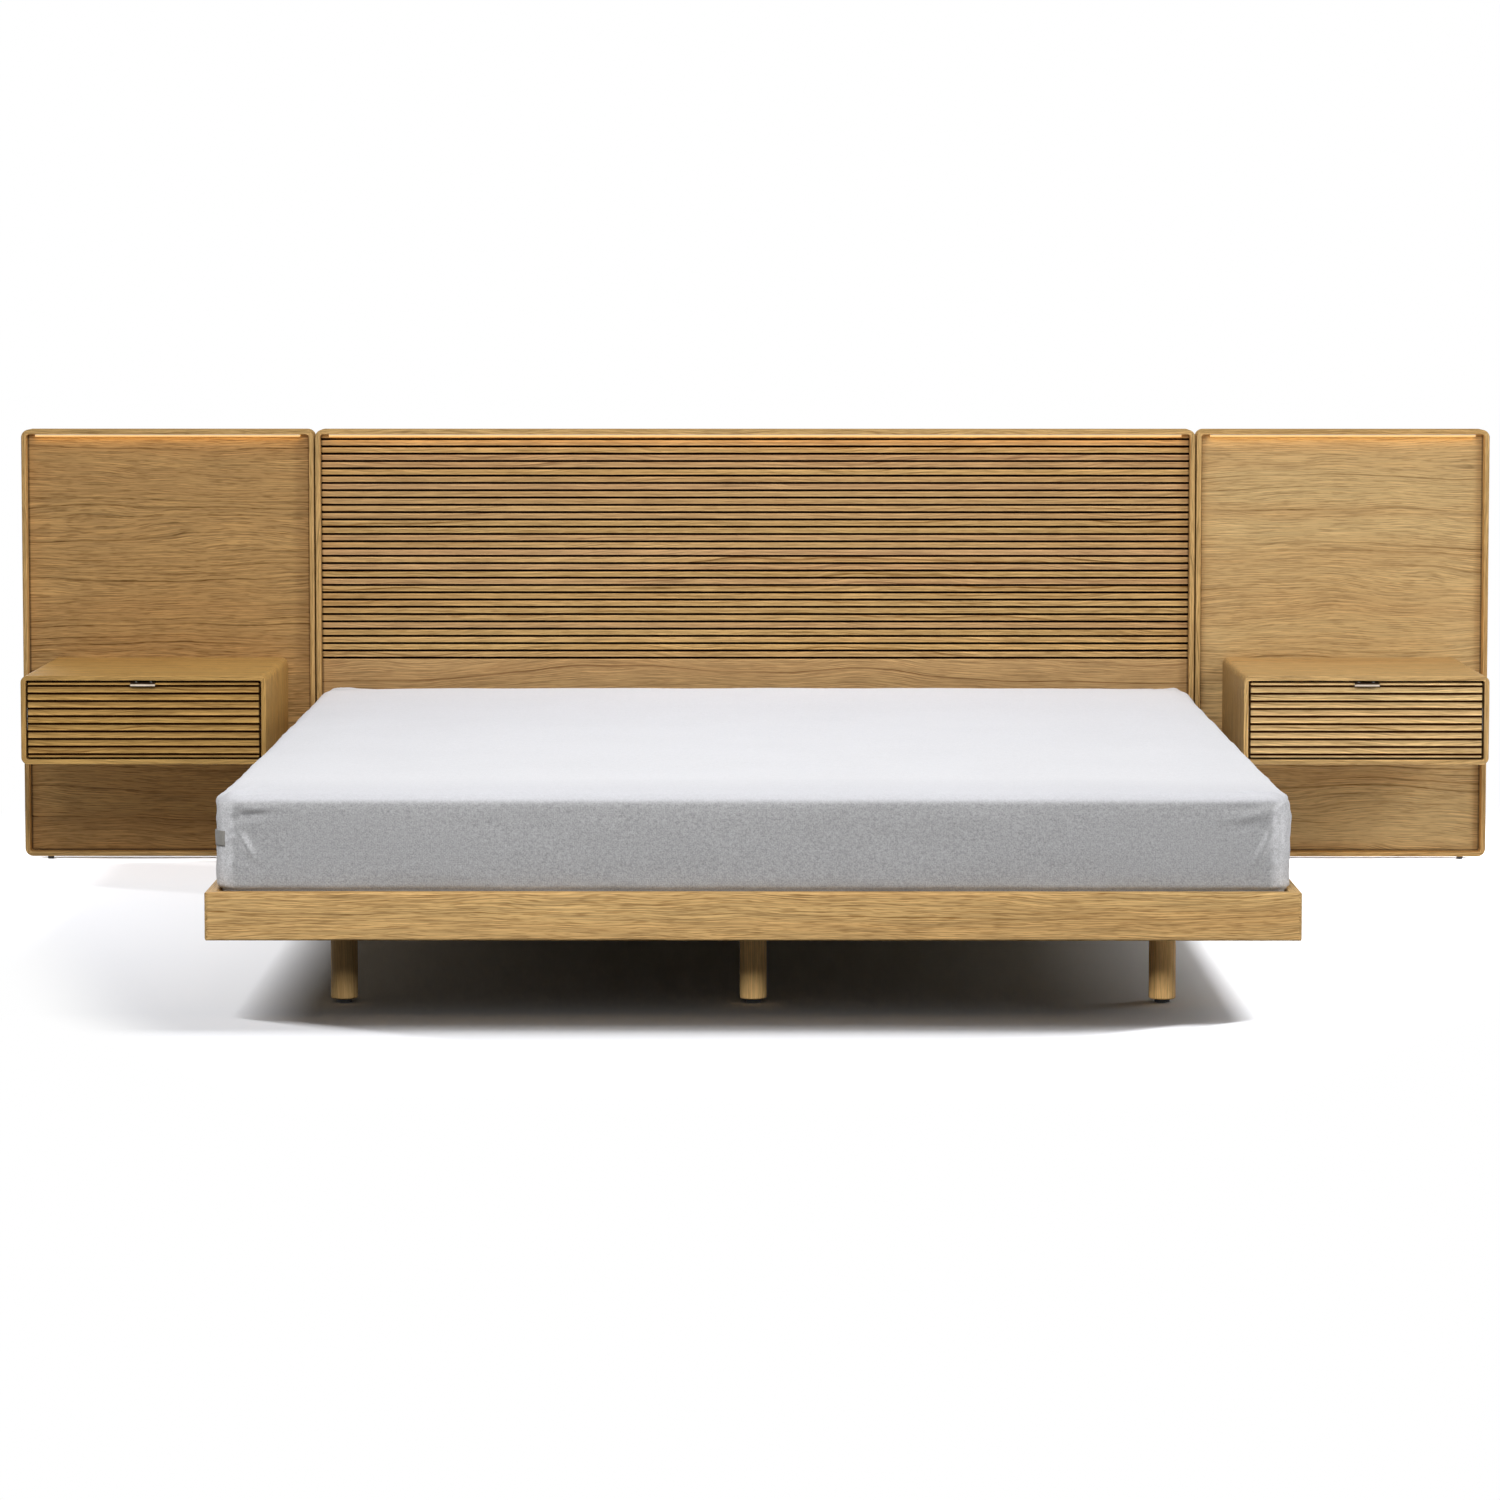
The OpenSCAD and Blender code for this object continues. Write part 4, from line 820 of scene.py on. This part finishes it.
def sewn_tag(points, faces):
    """The points and faces of a short woven ribbon, folded and sewn in at the left foot
    corner. It follows the sheet round the corner, and its free edge stands off a little."""
    seam_turn, free_turn, low, high = 233, 188, 0.279, 0.305
    skin_of = BVHTree.FromPolygons([tuple(p) for p in points], faces)
    pivot = MIDDLE + Vector((-(WIDTH / 2 - CORNER_R), -(LENGTH / 2 - CORNER_R), 0))
    rows, spots, quads = 9, [], []
    angles = np.radians(np.linspace(seam_turn, free_turn, 8))
    for j, z in enumerate(np.linspace(low, high, rows)):
        for i, angle in enumerate(angles):
            way = Vector((math.cos(angle), math.sin(angle), 0))
            outside = Vector((pivot.x, pivot.y, z)) + way * 0.2
            hit = skin_of.ray_cast(outside, -way)[0]
            share = i / (len(angles) - 1)
            bulge = math.sin(math.pi * j / (rows - 1))
            spots.append(hit + way * (0.0006 + 0.0004 * share ** 2 + 0.0004 * bulge))
            if i and j:
                k = j * len(angles) + i
                quads.append((k - 1, k, k - len(angles), k - len(angles) - 1))
    return spots, quads


# Knitted cotton: bright and plain on top, with a salt-and-pepper heather on the sides. The
# cool grey of the foot and head ends and the greyer top towards the foot are painted shade;
# the long sides stay pale. The ticking under it is plain and off-white, and the ribbon a
# flat woven grey
sheet_cloth = cloth("knitted_cotton_sheet", "#D3D3D6", "#A0A0A1", 3.2, 1.0, brow="#C6C6CA",
                    flank="#D2D2D4")
ticking = cloth("knitted_ticking", "#E4E3DF", "#DCDBD6", 4.5, 0.15)
ribbon = cloth("woven_ribbon", "#8D8A84", "#8D8A84", 1.6, 0.3)

sharp, faces = block(0.0044, 0.034)
points = np.array([shaped(*p) for p in sharp])
points = drawn_tight(points, faces, sharp)
core = new_piece("mattress_core", points, faces, ticking)
points = creased(points, read(core.data, "normal")) + np.array(MIDDLE)
core.data.vertices.foreach_set("co", points.ravel())
core.data.update()
skin = read(core.data, "normal")
core.data.vertices.foreach_set("co", (points - skin * CORE_IN).ravel())
core.data.update()

# The sheet wraps over the edges and ends in an opening under the mattress
inner = (WIDTH / 2 - UNDER, LENGTH / 2 - UNDER)
over = [face for face in faces
        if not all(sharp[i, 2] < TINY and abs(sharp[i, 0]) < inner[0] + TINY
                   and abs(sharp[i, 1]) < inner[1] + TINY for i in face)]
used = sorted({i for face in over for i in face})
place_of = {old: new for new, old in enumerate(used)}
cover = new_piece("fitted_sheet", points[used] - skin[used] * SHEET_THICK,
                  [[place_of[i] for i in face] for face in over], sheet_cloth)
tag = new_piece("side_tag", *sewn_tag(points, faces), ribbon)
for piece, thickness in ((cover, SHEET_THICK), (tag, TAG_THICK)):
    layer = piece.modifiers.new("thickness", "SOLIDIFY")
    layer.thickness = thickness
    layer.offset = 1

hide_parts("mattress")
# The height of the sheet's side with the part turned under, and the pieces ride on the bed
side = HEIGHT + UNDER
for piece in (core, cover, tag):
    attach(piece, ROOT)


# --- Studio ---

def in_view(tree):
    """1 for what the camera, metal and glass show, and 0 for the light thrown on the bed."""
    path = add(tree, "ShaderNodeLightPath").outputs
    seen = add(tree, "ShaderNodeMath", {0: path["Is Camera Ray"], 1: path["Is Glossy Ray"]},
               operation="MAXIMUM").outputs[0]
    return add(tree, "ShaderNodeMath", {0: seen, 1: path["Is Transmission Ray"]},
               operation="MAXIMUM").outputs[0]


def floor_material():
    """Pale seamless paper. The camera sees it fade to white away from the bed, and it keeps
    the bed's shadow. It throws less light back up than it shows."""
    made, tree, place = start("matt_paper_floor")
    seen = in_view(tree)
    tint = add(tree, "ShaderNodeMix",
               {0: seen, 6: colour("#959597"), 7: colour("#F1F2F6")}, data_type="RGBA")
    paper = add(tree, "ShaderNodeBsdfDiffuse", {"Color": tint.outputs[2]})
    white = add(tree, "ShaderNodeEmission", {"Color": (1, 1, 1, 1), "Strength": 1.0})
    # The fade grows with the distance past the sides and past the foot, in millimetres. Its
    # edge starts by the ends of the headboard and comes in towards the foot
    split = add(tree, "ShaderNodeSeparateXYZ", {0: place}).outputs
    across, deep = (add(tree, "ShaderNodeMath", {0: split[axis]}, operation="ABSOLUTE").outputs[0]
                    for axis in (0, 1))
    across = add(tree, "ShaderNodeMath", {0: split[1], 1: -0.25, 2: across},
                 operation="MULTIPLY_ADD").outputs[0]
    past = add(tree, "ShaderNodeMapRange", {0: across, 1: 1237, 2: 1487, 3: 0, 4: 850}).outputs[0]
    ahead = add(tree, "ShaderNodeMapRange", {0: deep, 1: 1060, 2: 1960, 3: 0, 4: 900}).outputs[0]
    far = add(tree, "ShaderNodeMath", {0: past, 1: ahead}, operation="ADD").outputs[0]
    fade = add(tree, "ShaderNodeMapRange", {0: far, 1: 60, 2: 900, 3: 0.0, 4: 1.0},
               interpolation_type="SMOOTHSTEP").outputs[0]
    share = add(tree, "ShaderNodeMath", {0: seen, 1: fade}, operation="MULTIPLY").outputs[0]
    mixed = add(tree, "ShaderNodeMixShader",
                {0: share, 1: paper.outputs[0], 2: white.outputs[0]})
    add(tree, "ShaderNodeOutputMaterial", {"Surface": mixed.outputs[0]})
    return made


half = 40
floor = new_piece("floor", [(-half, -half, 0), (half, -half, 0), (half, half, 0),
                            (-half, half, 0)], [(0, 1, 2, 3)], floor_material())
floor.location.z = -0.0005

world = bpy.data.worlds.new("studio")
bpy.context.scene.world = world
world.use_nodes = True
tree = world.node_tree
tree.nodes.clear()
AMBIENT = 0.07  # the world's light on the bed, while the view shows it white
strength = add(tree, "ShaderNodeMapRange", {0: in_view(tree), 3: AMBIENT, 4: 1.0}).outputs[0]
back = add(tree, "ShaderNodeBackground", {"Color": (1, 1, 1, 1), "Strength": strength})
add(tree, "ShaderNodeOutputWorld", {"Surface": back.outputs[0]})


def lamp(name, place, aim, size, power, code="#FFFFFF", only=None, spared=None, through=()):
    """A rectangular lamp of a width and height, with its power in watts. It can be kept to
    one piece, or kept off one, and the pieces in through throw no shadow from it."""
    made = bpy.data.lights.new(name, "AREA")
    made.shape = "RECTANGLE"
    made.size, made.size_y = size
    made.energy = power
    made.color = colour(code)[:3]
    holder = put_in(name, made)
    holder.location = place
    holder.rotation_mode = "QUATERNION"
    holder.rotation_quaternion = (Vector(aim) - Vector(place)).to_track_quat("-Z", "Y")
    if only or spared:
        group = bpy.data.collections.new(f"{name}_reach")
        group.objects.link(only or spared)
        if spared:
            group.collection_objects[0].light_linking.link_state = "EXCLUDE"
        holder.light_linking.receiver_collection = group
    if through:
        group = bpy.data.collections.new(f"{name}_through")
        for piece in through:
            group.objects.link(piece)
        for row in group.collection_objects:
            row.light_linking.link_state = "EXCLUDE"
        holder.light_linking.blocker_collection = group


# Three softboxes light the floor alone and throw the bed's shadow. In the photograph the
# headboard and the nightstands throw almost none. The other lamps are for the bed
wall_pieces = [piece for name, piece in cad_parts.items()
               if "panel" in name or "nightstand" in name or "drawer" in name]
lamp("floor_right", (3.7, 1.2, 3.6), (0.5, -0.6, 0), (0.3, 1.2), 350, only=floor,
     through=wall_pieces)
lamp("floor_left", (-3.6, 1.2, 3.6), (-0.5, -0.6, 0), (0.3, 3.0), 262, only=floor,
     through=wall_pieces)
lamp("floor_low_right", (3.7, 0.6, 1.9), (0.8, -0.6, 0), (0.3, 2.0), 80, only=floor,
     through=wall_pieces)
lamp("overhead", (0.4, 0.5, 4.2), (0, 0.3, 0.3), (3.0, 2.2), 64, spared=floor)
lamp("key_right", (3.6, -2.4, 2.3), (0.6, 0.8, 0.5), (1.4, 1.8), 66, spared=floor)
lamp("key_left", (-3.6, -2.0, 2.9), (-0.6, 0.8, 0.5), (1.4, 1.8), 7, spared=floor)
lamp("front", (-0.6, -3.4, 2.2), (-0.1, -1.0, 0.2), (2.6, 1.0), 93, spared=floor)
lamp("low_right", (1.75, -0.1, 0.22), (1.3, 1.0, 0.12), (0.3, 0.2), 0.42, "#FFD9B0",
     only=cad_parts["right_panel_board"])
lamp("over_sheet", (0, 1.05, 2.3), (0, 0.85, 0.37), (1.6, 0.5), 20, "#EEF3FF", only=cover)
lamp("behind", (-2.4, 5.0, 3.0), (0, 1.0, 0.5), (3.0, 2.0), 90, spared=floor)

# The light strips also light the boards and the tops of the frames under them. They face
# down and back at 45 degrees
STRIP_Y, STRIP_Z, STRIP_DEEP, WATTS_PER_M = 1.0125, 0.8942, 0.004, 0.05
for name, middle, long in (("left", -1.2355, 0.559), ("centre", 0.0, 1.794),
                           ("right", 1.2355, 0.559)):
    lamp(f"{name}_strip_light", (middle, STRIP_Y, STRIP_Z),
         (middle, STRIP_Y + 0.01, STRIP_Z - 0.01), (long, STRIP_DEEP), WATTS_PER_M * long,
         "#FFD28A")

# The camera was fitted to the edges of the bed as photographed: 4.088 degrees down, and
# turned 0.156 degrees
camera_data = bpy.data.cameras.new("camera")
camera_data.lens = 114.78
camera_data.shift_y = -0.10
camera = put_in("camera", camera_data)
camera.location = (0.0167, -9.0506, 1.2693)
camera.rotation_euler = (math.radians(90 - 4.088), 0, math.radians(0.156))
bpy.context.scene.camera = camera
bpy.context.scene.view_settings.view_transform = "Standard"
